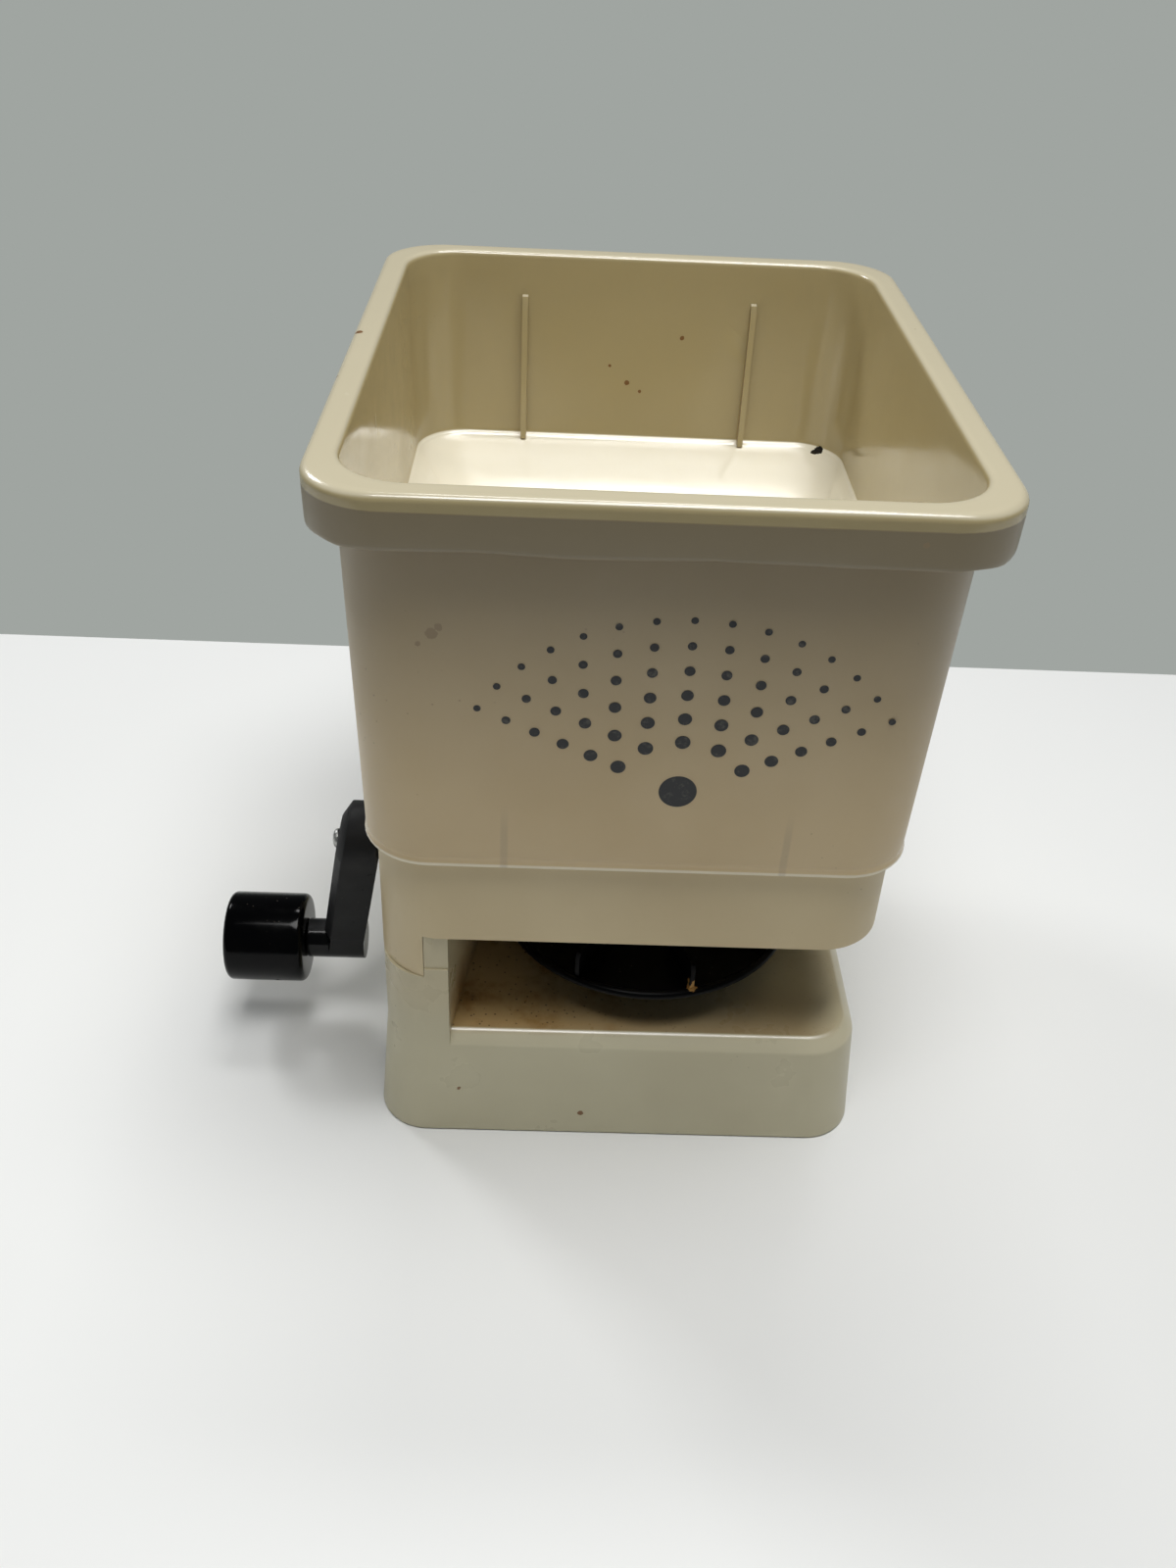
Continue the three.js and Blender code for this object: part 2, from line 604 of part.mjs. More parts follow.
// ---------- impeller train ----------
function impeller() {
  let s = join(
    turned([[0, 55.6], [47.8, 55.6], [DISC_R, 56.4], [DISC_R, 58.2], [48.2, 58.8], [0, 58.8]], AX, AY, 40),
    rodZ(AX, AY, 51, 58.6, 8, 24),
  );
  for (let i = 0; i < 8; i += 1) {
    const g = new THREE.ExtrudeGeometry(new THREE.Shape([
      new THREE.Vector2(24.5, 58),
      new THREE.Vector2(47.6, 58),
      new THREE.Vector2(47.6, 66),
      new THREE.Vector2(45.5, 68.5),
      new THREE.Vector2(26, 68.5),
      new THREE.Vector2(24.5, 66.5),
    ]), { depth: 1.6, bevelEnabled: false });
    g.translate(0, 0, -0.8);
    g.rotateX(Math.PI / 2);
    g.rotateZ((2 * Math.PI * (i + 0.35)) / 8);
    g.translate(AX, AY, 0);
    s = join(s, solid(g));
  }
  s = cut(s, cut(rodZ(AX, AY, 54.2, 60, 3.2, 20), box(AX - 5, AX + 5, AY + 2.5, AY + 6, 50, 62)));
  return cut(s, rodZ(AX, AY, 50, 60, 1.8, 12));
}
node('impeller', impeller(), BLACK);

function impellerShaft() {
  let s = rodZ(AX, AY, 54.5, 133, 3, 20);
  s = cut(s, box(AX - 5, AX + 5, AY + 2.2, AY + 5, 53, 59));
  s = cut(s, box(AX - 5, AX + 5, AY + 2.2, AY + 5, 120.2, 134));
  // Waist where the pinion is moulded on.
  s = cut(s, cut(rodZ(AX, AY, 62.9, 72.9, 4, 20), rodZ(AX, AY, 62, 74, 2.4, 20)));
  return cut(s, rodZ(AX, AY, 54, 66, 1.4, 10));
}
node('impeller_shaft', impellerShaft(), STEEL);
node('impeller_screw', screwZ(AX, AY, 50.7, 13.5, 1, 1.25, 3.6, 2.2), ZINC);

function ringZ(z0, z1, outer, bore) {
  return cut(rodZ(AX, AY, z0, z1, outer, 18), rodZ(AX, AY, z0 - 1, z1 + 1, bore, 20));
}
node('lower_bearing', join(ringZ(59.1, 60.2, 6.6, 3.2), ringZ(59.5, 62.6, 4.3, 3.2)), NATURAL);
node('upper_bearing', join(ringZ(118.3, 119.6, 7, 3.2), ringZ(114.6, 119, 4.65, 3.2)), NATURAL);

function agitator() {
  let s = join(
    rodZ(AX, AY, 120.6, 131.5, 6.5, 24),
    box(AX - 32, AX + 32, AY - 2.2, AY + 2.2, 121, 124.5),
    box(AX - 31, AX - 28, AY - 2.2, AY + 2.2, 121, 134),
    box(AX + 20, AX + 23, AY - 2.2, AY + 2.2, 121, 131),
  );
  return cut(s, cut(rodZ(AX, AY, 119, 134, 3.2, 20), box(AX - 5, AX + 5, AY + 2.5, AY + 6, 118, 135)));
}
node('agitator', agitator(), BLACK);

// ---------- gate and trigger ----------
function gatePlate() {
  const outline = [
    [-6, 79], [-6, -6], [-6, -9], [OUT_X - 10.9, -9], [OUT_X - 10.9, -31.5],
    [OUT_X + 10.9, -31.5], [OUT_X + 10.9, 3], [6, 3], [6, 79],
  ];
  let s = prism(outline.reverse(), 113.15, 115.35);
  const y = OUT_Y + GATE_TRAVEL;
  s = cut(s, box(OUT_X - 7, OUT_X + 7, y - OUT_L / 2, y + OUT_L / 2, 112, 117));
  return cut(s, box(-3.6, 3.6, PIVOT_Y - 3.9, PIVOT_Y + 3.9, 112, 117));
}
node('gate_plate', gatePlate(), BLACK);

function trigger() {
  const blade = [
    [PIVOT_Y - 4, 96], [64, 96], [56, 91], [50.5, 83], [49, 70], [51, 58], [47.5, 47.5],
    [50, 45], [55, 47], [57.5, 58], [56.5, 70], [59, 79], [66, 83], [PIVOT_Y + 2, 83.5],
  ];
  const arm = [[PIVOT_Y - 3.2, 88], [PIVOT_Y + 3.2, 88], [PIVOT_Y + 2.6, 112.5], [PIVOT_Y + 1.6, 115.6],
    [PIVOT_Y - 1.6, 115.6], [PIVOT_Y - 2.6, 112.5]];
  let s = join(
    prismX(blade.reverse(), -6, 6).intersect(box(-7, 7, 40, 61, 40, 100)),
    prismX(blade, -3.4, 3.4),
    prismX(arm, -3, 3),
    rodX(-4, 4, PIVOT_Y, PIVOT_Z, 6.8, 24),
  );
  return cut(s, rodX(-9, 9, PIVOT_Y, PIVOT_Z, 2.3, 16));
}
node('trigger', trigger(), BLACK);
node('trigger_pin', rodX(-13.1, 13.1, PIVOT_Y, PIVOT_Z, 2, 16), STEEL);

// Torsion spring round the pin: one leg down the trigger, one leg up inside the grip.
function triggerSpring() {
  const points = [];
  points.push(new THREE.Vector3(4.6, PIVOT_Y - 3.9, PIVOT_Z - 15));
  points.push(new THREE.Vector3(4.6, PIVOT_Y - 3.9, PIVOT_Z - 8));
  for (let i = 0; i <= 30; i += 1) {
    const a = Math.PI - (i / 30) * 2 * Math.PI * 2.5;
    points.push(new THREE.Vector3(
      4.6 + (1.9 * i) / 30,
      PIVOT_Y + 3.9 * Math.cos(a),
      PIVOT_Z + 3.9 * Math.sin(a),
    ));
  }
  points.push(new THREE.Vector3(6.5, PIVOT_Y + 3.9, PIVOT_Z - 8));
  points.push(new THREE.Vector3(6.5, PIVOT_Y + 3.9, PIVOT_Z - 13));
  const wire = new THREE.Shape();
  wire.absarc(0, 0, 0.32, 0, 2 * Math.PI);
  return solid(new THREE.ExtrudeGeometry(wire, {
    steps: 64,
    curveSegments: 2,
    bevelEnabled: false,
    extrudePath: new THREE.CatmullRomCurve3(points, false, 'chordal'),
  }));
}
node('trigger_spring', triggerSpring(), STEEL);

// ---------- grip ----------
function gripOutline(w, d, r) {
  return rounded(w, d, r, 0, GRIP_Y, 4);
}

function grip(side) {
  const outer = loft([
    { z: REST_Z + GAP, points: gripOutline(38, 34, 12) },
    { z: 36, points: gripOutline(34, 31, 12) },
    { z: 64, points: gripOutline(33, 32, 12) },
    { z: 92, points: gripOutline(34, 32, 12) },
    { z: 105.85, points: gripOutline(37, 35, 12) },
  ]);
  const inner = loft([
    { z: 36, points: gripOutline(29, 26, 9.5) },
    { z: 64, points: gripOutline(28, 27, 9.5) },
    { z: 96, points: gripOutline(29, 27, 9.5) },
  ]);
  let s = cut(outer, inner);
  const reach = side * 15.4;
  const bosses = join(
    rodX(Math.min(side * 7.9, reach), Math.max(side * 7.9, reach), PIVOT_Y, PIVOT_Z, 4.6, 14),
    rodX(Math.min(0, reach), Math.max(0, reach), 88, 46, 4.4, 12),
    rodX(Math.min(0, reach), Math.max(0, reach), 89, 93, 4.4, 12),
  );
  s = join(s, bosses.intersect(outer));
  s = cut(s, box(-7, 7, 55, 84, 39, 98.5), box(-4.6, 4.6, 59, 84, 98, 110));
  s = s.intersect(side > 0 ? box(0.15, 30, 50, 110, 20, 120) : box(-30, -0.15, 50, 110, 20, 120));
  s = cut(s, rodX(-13.4, 13.4, PIVOT_Y, PIVOT_Z, 2.15, 16));
  for (const [y, z] of [[88, 46], [89, 93]]) {
    s = cut(s, side < 0 ? rodX(-20, -11.5, y, z, 3.6, 12) : rodX(0, 10, y, z, 1.45, 8));
    if (side < 0) {
      s = cut(s, rodX(-14, 0, y, z, 1.7, 10));
    }
  }
  for (const [x, y] of GRIP_LOW_SCREWS) {
    s = cut(s, rodZ(x, y, 20, 34, 1.75, 8));
  }
  for (const [x, y] of GRIP_TOP_SCREWS) {
    s = cut(s, rodZ(x, y, 96.5, 108, 1.75, 8));
  }
  return s;
}
node('grip_left', grip(-1), BLACK);
node('grip_right', grip(1), BLACK);

function gripScrew(y, z) {
  return join(rodX(-13.6, -11.8, y, z, 3.1, 14), rodX(-12.2, 9, y, z, 1.25, 8));
}
node('grip_screw_1', gripScrew(88, 46), ZINC);
node('grip_screw_2', gripScrew(89, 93), ZINC);

// ---------- screws ----------
HOPPER_SCREWS.forEach(([x, y], i) => {
  const z = y > 0 ? 105.9 : TIER_Z - 0.3;
  node(`hopper_screw_${i + 1}`, screwZ(x, y, z, 123.5 - z), ZINC);
});
BASE_SCREWS.forEach(([x, y], i) => {
  node(`base_screw_${i + 1}`, screwZ(x, y, 64.7, 29), ZINC);
});
COVER_SCREWS.forEach(([x, y], i) => {
  node(`cover_screw_${i + 1}`, screwZ(x, y, 80.1, 9, 1, 1.25, 2.6, 1.8), ZINC);
});
PLATE_SCREWS.forEach(([x, y], i) => {
  node(`plate_screw_${i + 1}`, screwZ(x, y, 2.6, 14, 1, 1.25, 3.1, 2.2), ZINC);
});
GRIP_TOP_SCREWS.forEach(([x, y], i) => {
  node(`grip_top_screw_${i + 1}`, screwZ(x, y, 108.7, 11, -1, 1.5, 2.8, 2), ZINC);
});
GRIP_LOW_SCREWS.forEach(([x, y], i) => {
  node(`grip_low_screw_${i + 1}`, screwZ(x, y, 21.3, 11, 1, 1.5, 3.1, 2), ZINC);
});

export default spreader;
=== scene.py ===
# Handheld salt spreader: surfaces, materials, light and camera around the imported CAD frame.
import math

import bmesh
import bpy
from mathutils import Matrix, Vector, noise


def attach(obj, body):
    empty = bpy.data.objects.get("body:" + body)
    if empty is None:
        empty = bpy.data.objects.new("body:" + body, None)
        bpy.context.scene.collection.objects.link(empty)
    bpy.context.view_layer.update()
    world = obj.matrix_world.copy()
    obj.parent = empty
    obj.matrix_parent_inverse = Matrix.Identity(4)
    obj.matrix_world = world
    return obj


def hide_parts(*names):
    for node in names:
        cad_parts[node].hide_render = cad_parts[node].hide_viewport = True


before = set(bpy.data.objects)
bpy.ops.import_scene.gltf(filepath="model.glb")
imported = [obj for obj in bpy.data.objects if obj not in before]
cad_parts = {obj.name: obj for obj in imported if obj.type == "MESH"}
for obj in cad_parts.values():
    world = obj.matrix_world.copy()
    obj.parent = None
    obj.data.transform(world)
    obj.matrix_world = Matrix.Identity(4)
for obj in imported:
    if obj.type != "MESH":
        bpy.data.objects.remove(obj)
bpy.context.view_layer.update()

MM = 0.001
DEPTH_MORE = 38.0            # rim depth minus rim width
RIM_TOP = 229.0              # overall height
SKIRT_Z, LIP_Z = 214.5, 113.0          # lower edges of the rim's skirt and of the hopper
BODY_TOP_W, BODY_LOW_W = 162.4, 158.3  # hopper width at those two heights
LEDGE_Z, FUNNEL_Z = 164.0, 118.0       # top and floor of the funnel
WALLS = 3.8                  # both walls of the hopper together
GUSSET_X = (-38, 41)         # gussets behind the hopper's front wall
RIB_X = (-40, 41.5)          # ribs inside the hopper's back wall
TIER_LOW, TIER_TOP = 82.7, 118.0       # lower edge and top of the gear housing
SLOT_Z = 41.0                # floor of the slot round the disc
BLOCK_BACK = 18.5            # rear face of the disc chamber's block
BLOCK_TOP = 82.35
WIDE, DEEP = 90, 110         # half sizes of blocks that reach past every wall
AX, AY = 7.8, -43.0          # impeller axis
FINS = 8                     # fins on the impeller
CRANK_Z, THROW = 78.0, 44.3  # crank axis height and throw
SPINDLE_Z = CRANK_Z - THROW
ARM_SLOPE = 0.18             # how far the crank arm leans, for each unit of height
SHAFT_SQUARE = 2.95          # half width of the square hole for the crank shaft
PIVOT_Y, PIVOT_Z = 72.0, 90.0
GRIP_Y = 78.0
OUT_X, OUT_Y = 34.0, -22.0   # outlet
HOPPER_SCREWS = [(-50, -84), (50, -84), (-62, 80), (62, 80)]
BASE_SCREWS = [(-63, -76), (-63, 6), (65, 0)]
COVER_SCREWS = [(16.4, -19.5), (16.4, -66.5), (-38, -32.4)]
PLATE_SCREWS = [(-44, -82), (44, -82), (-64, 82), (64, 82)]
GRIP_TOP = [(-11.5, 87.5), (11.5, 87.5)]
GRIP_LOW = [(-9, 84), (9, 84)]
GRIP_SCREWS = [(88, 46), (89, 93)]     # as (y, z)


# ---------------------------------------------------------------- mesh code
def new_object(name, bm):
    bmesh.ops.recalc_face_normals(bm, faces=bm.faces)
    mesh = bpy.data.meshes.new(name)
    bm.to_mesh(mesh)
    bm.free()
    obj = bpy.data.objects.new(name, mesh)
    bpy.context.scene.collection.objects.link(obj)
    return obj


def rounded(w, d, r, cx=0.0, cy=0.0, n=12, straight=1):
    """Rounded rectangle, anticlockwise from the front right corner."""
    points = []
    for sx, sy, start in ((1, -1, -90), (1, 1, 0), (-1, 1, 90), (-1, -1, 180)):
        for i in range(n + 1):
            a = math.radians(start + 90 * i / n)
            points.append((cx + sx * (w / 2 - r) + r * math.cos(a),
                           cy + sy * (d / 2 - r) + r * math.sin(a)))
        if straight > 1:
            last = points[-1]
            nxt = {-90: (1, 1, 0), 0: (-1, 1, 90), 90: (-1, -1, 180), 180: (1, -1, 270)}[start]
            a = math.radians(nxt[2])
            goal = (cx + nxt[0] * (w / 2 - r) + r * math.cos(a),
                    cy + nxt[1] * (d / 2 - r) + r * math.sin(a))
            for k in range(1, straight):
                t = k / straight
                points.append((last[0] + (goal[0] - last[0]) * t,
                               last[1] + (goal[1] - last[1]) * t))
    return points


def shell(w, r, **more):
    return rounded(w, w + DEPTH_MORE, r, **more)


def skin(name, rings, caps=True):
    """Rings of (x, y, z) points of equal count, joined in order; caps close both ends."""
    bm = bmesh.new()
    rows = [[bm.verts.new((x * MM, y * MM, z * MM)) for x, y, z in ring] for ring in rings]
    n = len(rows[0])
    for a, b in zip(rows, rows[1:]):
        for i in range(n):
            j = (i + 1) % n
            bm.faces.new((a[i], a[j], b[j], b[i]))
    if caps:
        bm.faces.new(rows[0][::-1])
        bm.faces.new(rows[-1])
    return new_object(name, bm)


def loft(name, *rings):
    """Rings as (z, points)."""
    return skin(name, [[(x, y, z) for x, y in points] for z, points in rings])


def prism(name, points, z0, z1):
    return loft(name, (z0, points), (z1, points))


def prism_x(name, points, x0, x1):
    return skin(name, [[(x, y, z) for y, z in points] for x in (x0, x1)])


def block(x0, x1, y0, y1, z0, z1):
    return prism("block", [(x0, y0), (x1, y0), (x1, y1), (x0, y1)], z0, z1)


def circle(r, n, cx=0.0, cy=0.0):
    return [(cx + r * math.cos(2 * math.pi * i / n), cy + r * math.sin(2 * math.pi * i / n))
            for i in range(n)]


def rod_z(x, y, z0, z1, r, n=40):
    return prism("rod", circle(r, n, x, y), z0, z1)


def rod_x(x0, x1, y, z, r, n=40):
    return prism_x("rod", circle(r, n, y, z), x0, x1)


def turned(name, profile, axis, centre, n=64):
    """Profile of (along, radius) pairs turned about axis 'x' or 'z' through centre."""
    rings = []
    for along, r in profile:
        ring = []
        for u, v in circle(max(r, 0.02), n):
            if axis == "x":
                ring.append((along, centre[0] + u, centre[1] + v))
            else:
                ring.append((centre[0] + u, centre[1] + v, along))
        rings.append(ring)
    return skin(name, rings)


def apply(obj):
    graph = bpy.context.evaluated_depsgraph_get()
    mesh = bpy.data.meshes.new_from_object(obj.evaluated_get(graph))
    obj.modifiers.clear()
    old = obj.data
    obj.data = mesh
    bpy.data.meshes.remove(old)


def combine(obj, how, *tools):
    for tool in tools:
        m = obj.modifiers.new("cut", "BOOLEAN")
        m.operation = how
        m.solver = "EXACT"
        m.object = tool
        apply(obj)
        bpy.data.objects.remove(tool)
    return obj


def cut(obj, *tools):
    return combine(obj, "DIFFERENCE", *tools)


def join(obj, *tools):
    return combine(obj, "UNION", *tools)


def overlap(obj, *tools):
    return combine(obj, "INTERSECT", *tools)


def arc(x0, z0, r, a0, a1, n=5):
    """Points (x, z) on an arc, angles in degrees."""
    return [(x0 + r * math.cos(math.radians(a0 + (a1 - a0) * i / n)),
             z0 + r * math.sin(math.radians(a0 + (a1 - a0) * i / n))) for i in range(n + 1)]


def piece(obj, name, nodes, body, material, bevel=0.35, angle=32, segments=2):
    """Names a finished piece, softens its edges, gives it a material and puts it on its body."""
    obj.name = name
    obj.data.name = name
    mesh = obj.data
    bm = bmesh.new()
    bm.from_mesh(mesh)
    bmesh.ops.remove_doubles(bm, verts=bm.verts, dist=2e-6)
    bmesh.ops.dissolve_degenerate(bm, edges=bm.edges, dist=2e-6)
    bm.to_mesh(mesh)
    bm.free()
    for polygon in mesh.polygons:
        polygon.use_smooth = True
    mesh.set_sharp_from_angle(angle=math.radians(angle))
    if bevel:
        m = obj.modifiers.new("edge", "BEVEL")
        m.width = bevel * MM
        m.segments = segments
        m.limit_method = "ANGLE"
        m.angle_limit = math.radians(angle)
        m.harden_normals = True
        m.miter_outer = "MITER_ARC"
    mesh.materials.clear()
    mesh.materials.append(material)
    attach(obj, body)
    if nodes:
        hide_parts(*nodes)
    return obj


# ---------------------------------------------------------------- materials
class Nodes:
    """A small writer for shader node trees."""

    def __init__(self, name):
        self.material = bpy.data.materials.new(name)
        self.material.use_nodes = True
        self.tree = self.material.node_tree
        self.shader = self.tree.nodes["Principled BSDF"]
        self.place = self.add("ShaderNodeTexCoord").outputs["Object"]

    def add(self, kind):
        return self.tree.nodes.new(kind)

    def link(self, a, b):
        self.tree.links.new(a, b)

    def noise(self, scale, detail=4.0, rough=0.55, stretch=None):
        node = self.add("ShaderNodeTexNoise")
        node.inputs["Scale"].default_value = scale
        node.inputs["Detail"].default_value = detail
        node.inputs["Roughness"].default_value = rough
        source = self.place
        if stretch:
            mapping = self.add("ShaderNodeMapping")
            mapping.inputs["Scale"].default_value = stretch
            self.link(source, mapping.inputs["Vector"])
            source = mapping.outputs["Vector"]
        self.link(source, node.inputs["Vector"])
        return node.outputs["Fac"]

    def spots(self, scale, size):
        """Small round specks: 1 inside a speck."""
        node = self.add("ShaderNodeTexVoronoi")
        node.inputs["Scale"].default_value = scale
        self.link(self.place, node.inputs["Vector"])
        return self.band(node.outputs["Distance"], size, size * 0.55)

    def band(self, value, low, high, to_low=0.0, to_high=1.0):
        """Smooth step from to_low at low to to_high at high."""
        node = self.add("ShaderNodeMapRange")
        node.interpolation_type = "SMOOTHSTEP"
        for key, number in (("From Min", low), ("From Max", high),
                            ("To Min", to_low), ("To Max", to_high)):
            node.inputs[key].default_value = number
        self.link(value, node.inputs["Value"])
        return node.outputs["Result"]

    def math(self, how, a, b):
        node = self.add("ShaderNodeMath")
        node.operation = how
        for socket, value in zip(node.inputs, (a, b)):
            if isinstance(value, (int, float)):
                socket.default_value = value
            else:
                self.link(value, socket)
        return node.outputs["Value"]

    def times(self, *values):
        product = values[0]
        for value in values[1:]:
            product = self.math("MULTIPLY", product, value)
        return product

    def mix(self, factor, a, b):
        node = self.add("ShaderNodeMix")
        node.data_type = "RGBA"
        if isinstance(factor, (int, float)):
            node.inputs[0].default_value = factor
        else:
            self.link(factor, node.inputs[0])
        for socket, value in ((node.inputs[6], a), (node.inputs[7], b)):
            if isinstance(value, tuple):
                socket.default_value = (*value, 1.0)
            else:
                self.link(value, socket)
        return node.outputs[2]

    def dab(self, place, radius):
        """A ragged spot at a place given in millimetres: 1 inside it."""
        node = self.add("ShaderNodeVectorMath")
        node.operation = "DISTANCE"
        self.link(self.place, node.inputs[0])
        node.inputs[1].default_value = tuple(v * MM for v in place)
        ragged = self.math("MULTIPLY", self.noise(900, 3, 0.6), radius * MM * 0.9)
        away = self.math("ADD", node.outputs["Value"], ragged)
        return self.band(away, radius * MM * 1.5, radius * MM * 1.35)

    def axis(self, which):
        node = self.add("ShaderNodeSeparateXYZ")
        self.link(self.place, node.inputs["Vector"])
        return node.outputs[which]

    def up(self):
        """The height part of the surface normal."""
        geometry = self.add("ShaderNodeNewGeometry")
        node = self.add("ShaderNodeSeparateXYZ")
        self.link(geometry.outputs["Normal"], node.inputs["Vector"])
        return node.outputs["Z"]

    def bump(self, height, strength, distance, under=None):
        node = self.add("ShaderNodeBump")
        node.inputs["Strength"].default_value = strength
        node.inputs["Distance"].default_value = distance
        self.link(height, node.inputs["Height"])
        if under is not None:
            self.link(under, node.inputs["Normal"])
        return node.outputs["Normal"]

    def finish(self, colour, rough, normal=None):
        self.link(colour, self.shader.inputs["Base Color"])
        if isinstance(rough, (int, float)):
            self.shader.inputs["Roughness"].default_value = rough
        else:
            self.link(rough, self.shader.inputs["Roughness"])
        if normal is not None:
            self.link(normal, self.shader.inputs["Normal"])
        return self.material


def srgb(r, g, b):
    def one(c):
        c /= 255
        return c / 12.92 if c <= 0.04045 else ((c + 0.055) / 1.055) ** 2.4
    return one(r), one(g), one(b)


INNER_SHADE_TONE = srgb(172, 159, 119)       # painted shade on the hopper's inner walls
SKIRT_SHADE_TONE = srgb(124, 116, 88)        # painted shade on the front of the rim's skirt
UPPER_SHADE_TONE = srgb(133, 118, 88)        # painted shade on the hopper walls toward the rim
# Painted highlight: glare on the funnel.
FUNNEL_HIGHLIGHT_TONE = srgb(238, 232, 212)
LIP_HIGHLIGHT_TONE = srgb(236, 228, 204)         # painted highlight on the thin lower edge of the hopper
# Painted shadow of the gussets seen through the front wall.
GUSSET_SHADOW_TONE = srgb(120, 108, 100)
SPECK_TONE = srgb(84, 70, 52)
BIG_SPECK_TONE = srgb(92, 74, 54)
SCRATCH_TONE = srgb(236, 230, 212)
RIDGE_TOP_SHADE_TONE = srgb(156, 138, 104)        # painted shade on the top of the base behind its ridge
STAIN_TONE = srgb(200, 158, 92)        # light wash of the slot's stain
BROWN_TONE = srgb(146, 108, 52)        # its brown patches
DARK_TONE = srgb(84, 60, 34)           # its dark patches
GRIT_TONE = srgb(46, 36, 26)
COLUMN_TONE = srgb(190, 178, 146)      # base above the slot's floor
ROUND_HIGHLIGHT_TONE = srgb(232, 226, 202)       # painted highlight on the round below the ridge
RIDGE_HIGHLIGHT_TONE = srgb(238, 232, 214)       # painted highlight line on the ridge
DUST_TONE = srgb(110, 104, 92)
RUBBED_TONE = srgb(6, 6, 7)
RUST_TONE = srgb(110, 84, 62)
DIRT = srgb(120, 84, 48)
SCUFF = srgb(142, 122, 88)
# Near-black spots.
NEAR_BLACK_SPOT = srgb(20, 16, 12)


def hopper_painted_light(n, colour, pale):
    """Painted light and shade on the hopper: painted shade on the inside, the skirt and the upper walls,
    painted highlight on the flat tops, the funnel and the lip, and the gussets' painted shadow.
    """
    z = n.axis("Z")
    # Painted shade: the inner walls are darker, standing for the shade inside the hopper.
    inner = n.times(n.band(n.up(), 0.002, 0.014), n.band(z, 0.1225, 0.1235), 0.85)
    colour = n.mix(inner, colour, INNER_SHADE_TONE)
    outer = n.band(n.up(), 0.014, 0.002)
    # Painted shade: the rim's skirt is darker, since no light glows through it as it does through the
    # thin walls.
    skirt = n.times(n.band(z, 0.2135, 0.2152), outer, 0.9)
    colour = n.mix(skirt, colour, SKIRT_SHADE_TONE)
    # Painted shade: the outer walls darken toward the rim, in the shade under it.
    upper = n.times(n.band(z, 0.125, 0.214, 0.0, 0.75), outer)
    colour = n.mix(upper, colour, UPPER_SHADE_TONE)
    # Painted highlight: faces that look up are paler, as lit from above.
    colour = n.mix(n.band(n.up(), 0.40, 0.80), colour, pale)
    # Painted highlight: glare on the upward funnel faces.
    funnel = n.times(n.band(n.up(), 0.30, 0.60), n.band(z, 0.168, 0.164))
    colour = n.mix(funnel, colour, FUNNEL_HIGHLIGHT_TONE)
    # Painted highlight along the lip's lower edge.
    colour = n.mix(n.band(z, 0.1144, 0.1140, 0.0, 0.75), colour, LIP_HIGHLIGHT_TONE)
    # Painted shadow: the two inner gussets show faintly through the front wall as darker lines.
    front = n.times(n.band(n.axis("Y"), -0.090, -0.094), n.band(z, 0.137, 0.124))
    for x in GUSSET_X:
        aside = n.math("ABSOLUTE", n.math("SUBTRACT", n.axis("X"), x * MM), 0.0)
        line = n.times(n.band(aside, 0.0014, 0.0006, 0.0, 0.22), front)
        colour = n.mix(line, colour, GUSSET_SHADOW_TONE)
    return colour


def base_stains_and_light(n, colour, amount):
    """Rusty stain inside the slot, a paler column, painted shade on the top near the front ridge and
    painted highlight on the ridge; returns the highlight's mask too.
    """
    x, y, z = n.axis("X"), n.axis("Y"), n.axis("Z")
    # Painted shade: the top is darker toward the front ridge, in the hopper's shadow.
    flat = n.times(n.band(n.up(), 0.97, 0.99), n.band(z, 0.0405, 0.0409), n.band(z, 0.0430, 0.0425))
    near = n.times(n.band(y, -0.060, -0.090, 0.0, 0.85), n.band(x, 0.072, 0.055))
    colour = n.mix(n.times(flat, near), colour, RIDGE_TOP_SHADE_TONE)
    across = n.times(n.band(x, 0.040, -0.040, 0.15, 1.0), n.band(x, -0.0570, -0.0556))
    along = n.times(n.band(y, -0.0948, -0.0880), n.band(y, 0.0140, 0.0120))
    height = n.times(n.band(z, 0.0395, 0.0405), n.band(z, 0.080, 0.050, 0.1, 1.0))
    slot = n.times(height, across, along)
    colour = n.mix(n.times(slot, 0.5), colour, STAIN_TONE)
    brown = n.band(n.noise(44, 6, 0.68), 0.44, 0.68)
    colour = n.mix(n.times(slot, brown, amount), colour, BROWN_TONE)
    dark = n.band(n.noise(90, 5, 0.7), 0.60, 0.74)
    colour = n.mix(n.times(slot, dark, 0.6), colour, DARK_TONE)
    colour = n.mix(n.times(n.spots(420, 0.18), slot, 0.75), colour, GRIT_TONE)
    colour = n.mix(n.times(n.band(z, 0.043, 0.062), 0.7), colour, COLUMN_TONE)
    # Painted highlight: a pale round below the front ridge, and a bright line along the ridge, which is
    # also made glossier.
    below = n.times(n.band(n.up(), 0.10, 0.50), n.band(z, 0.0360, 0.0375, 0.0, 0.25),
                    n.band(n.up(), 0.93, 0.80))
    colour = n.mix(below, colour, ROUND_HIGHLIGHT_TONE)
    line = n.times(n.band(n.up(), 0.79, 0.87), n.band(n.up(), 0.97, 0.93))
    ends = n.times(n.band(z, 0.0396, 0.0400), n.band(y, -0.085, -0.089), n.band(x, 0.070, 0.058))
    ridge = n.times(line, ends)
    return n.mix(ridge, colour, RIDGE_HIGHLIGHT_TONE), ridge


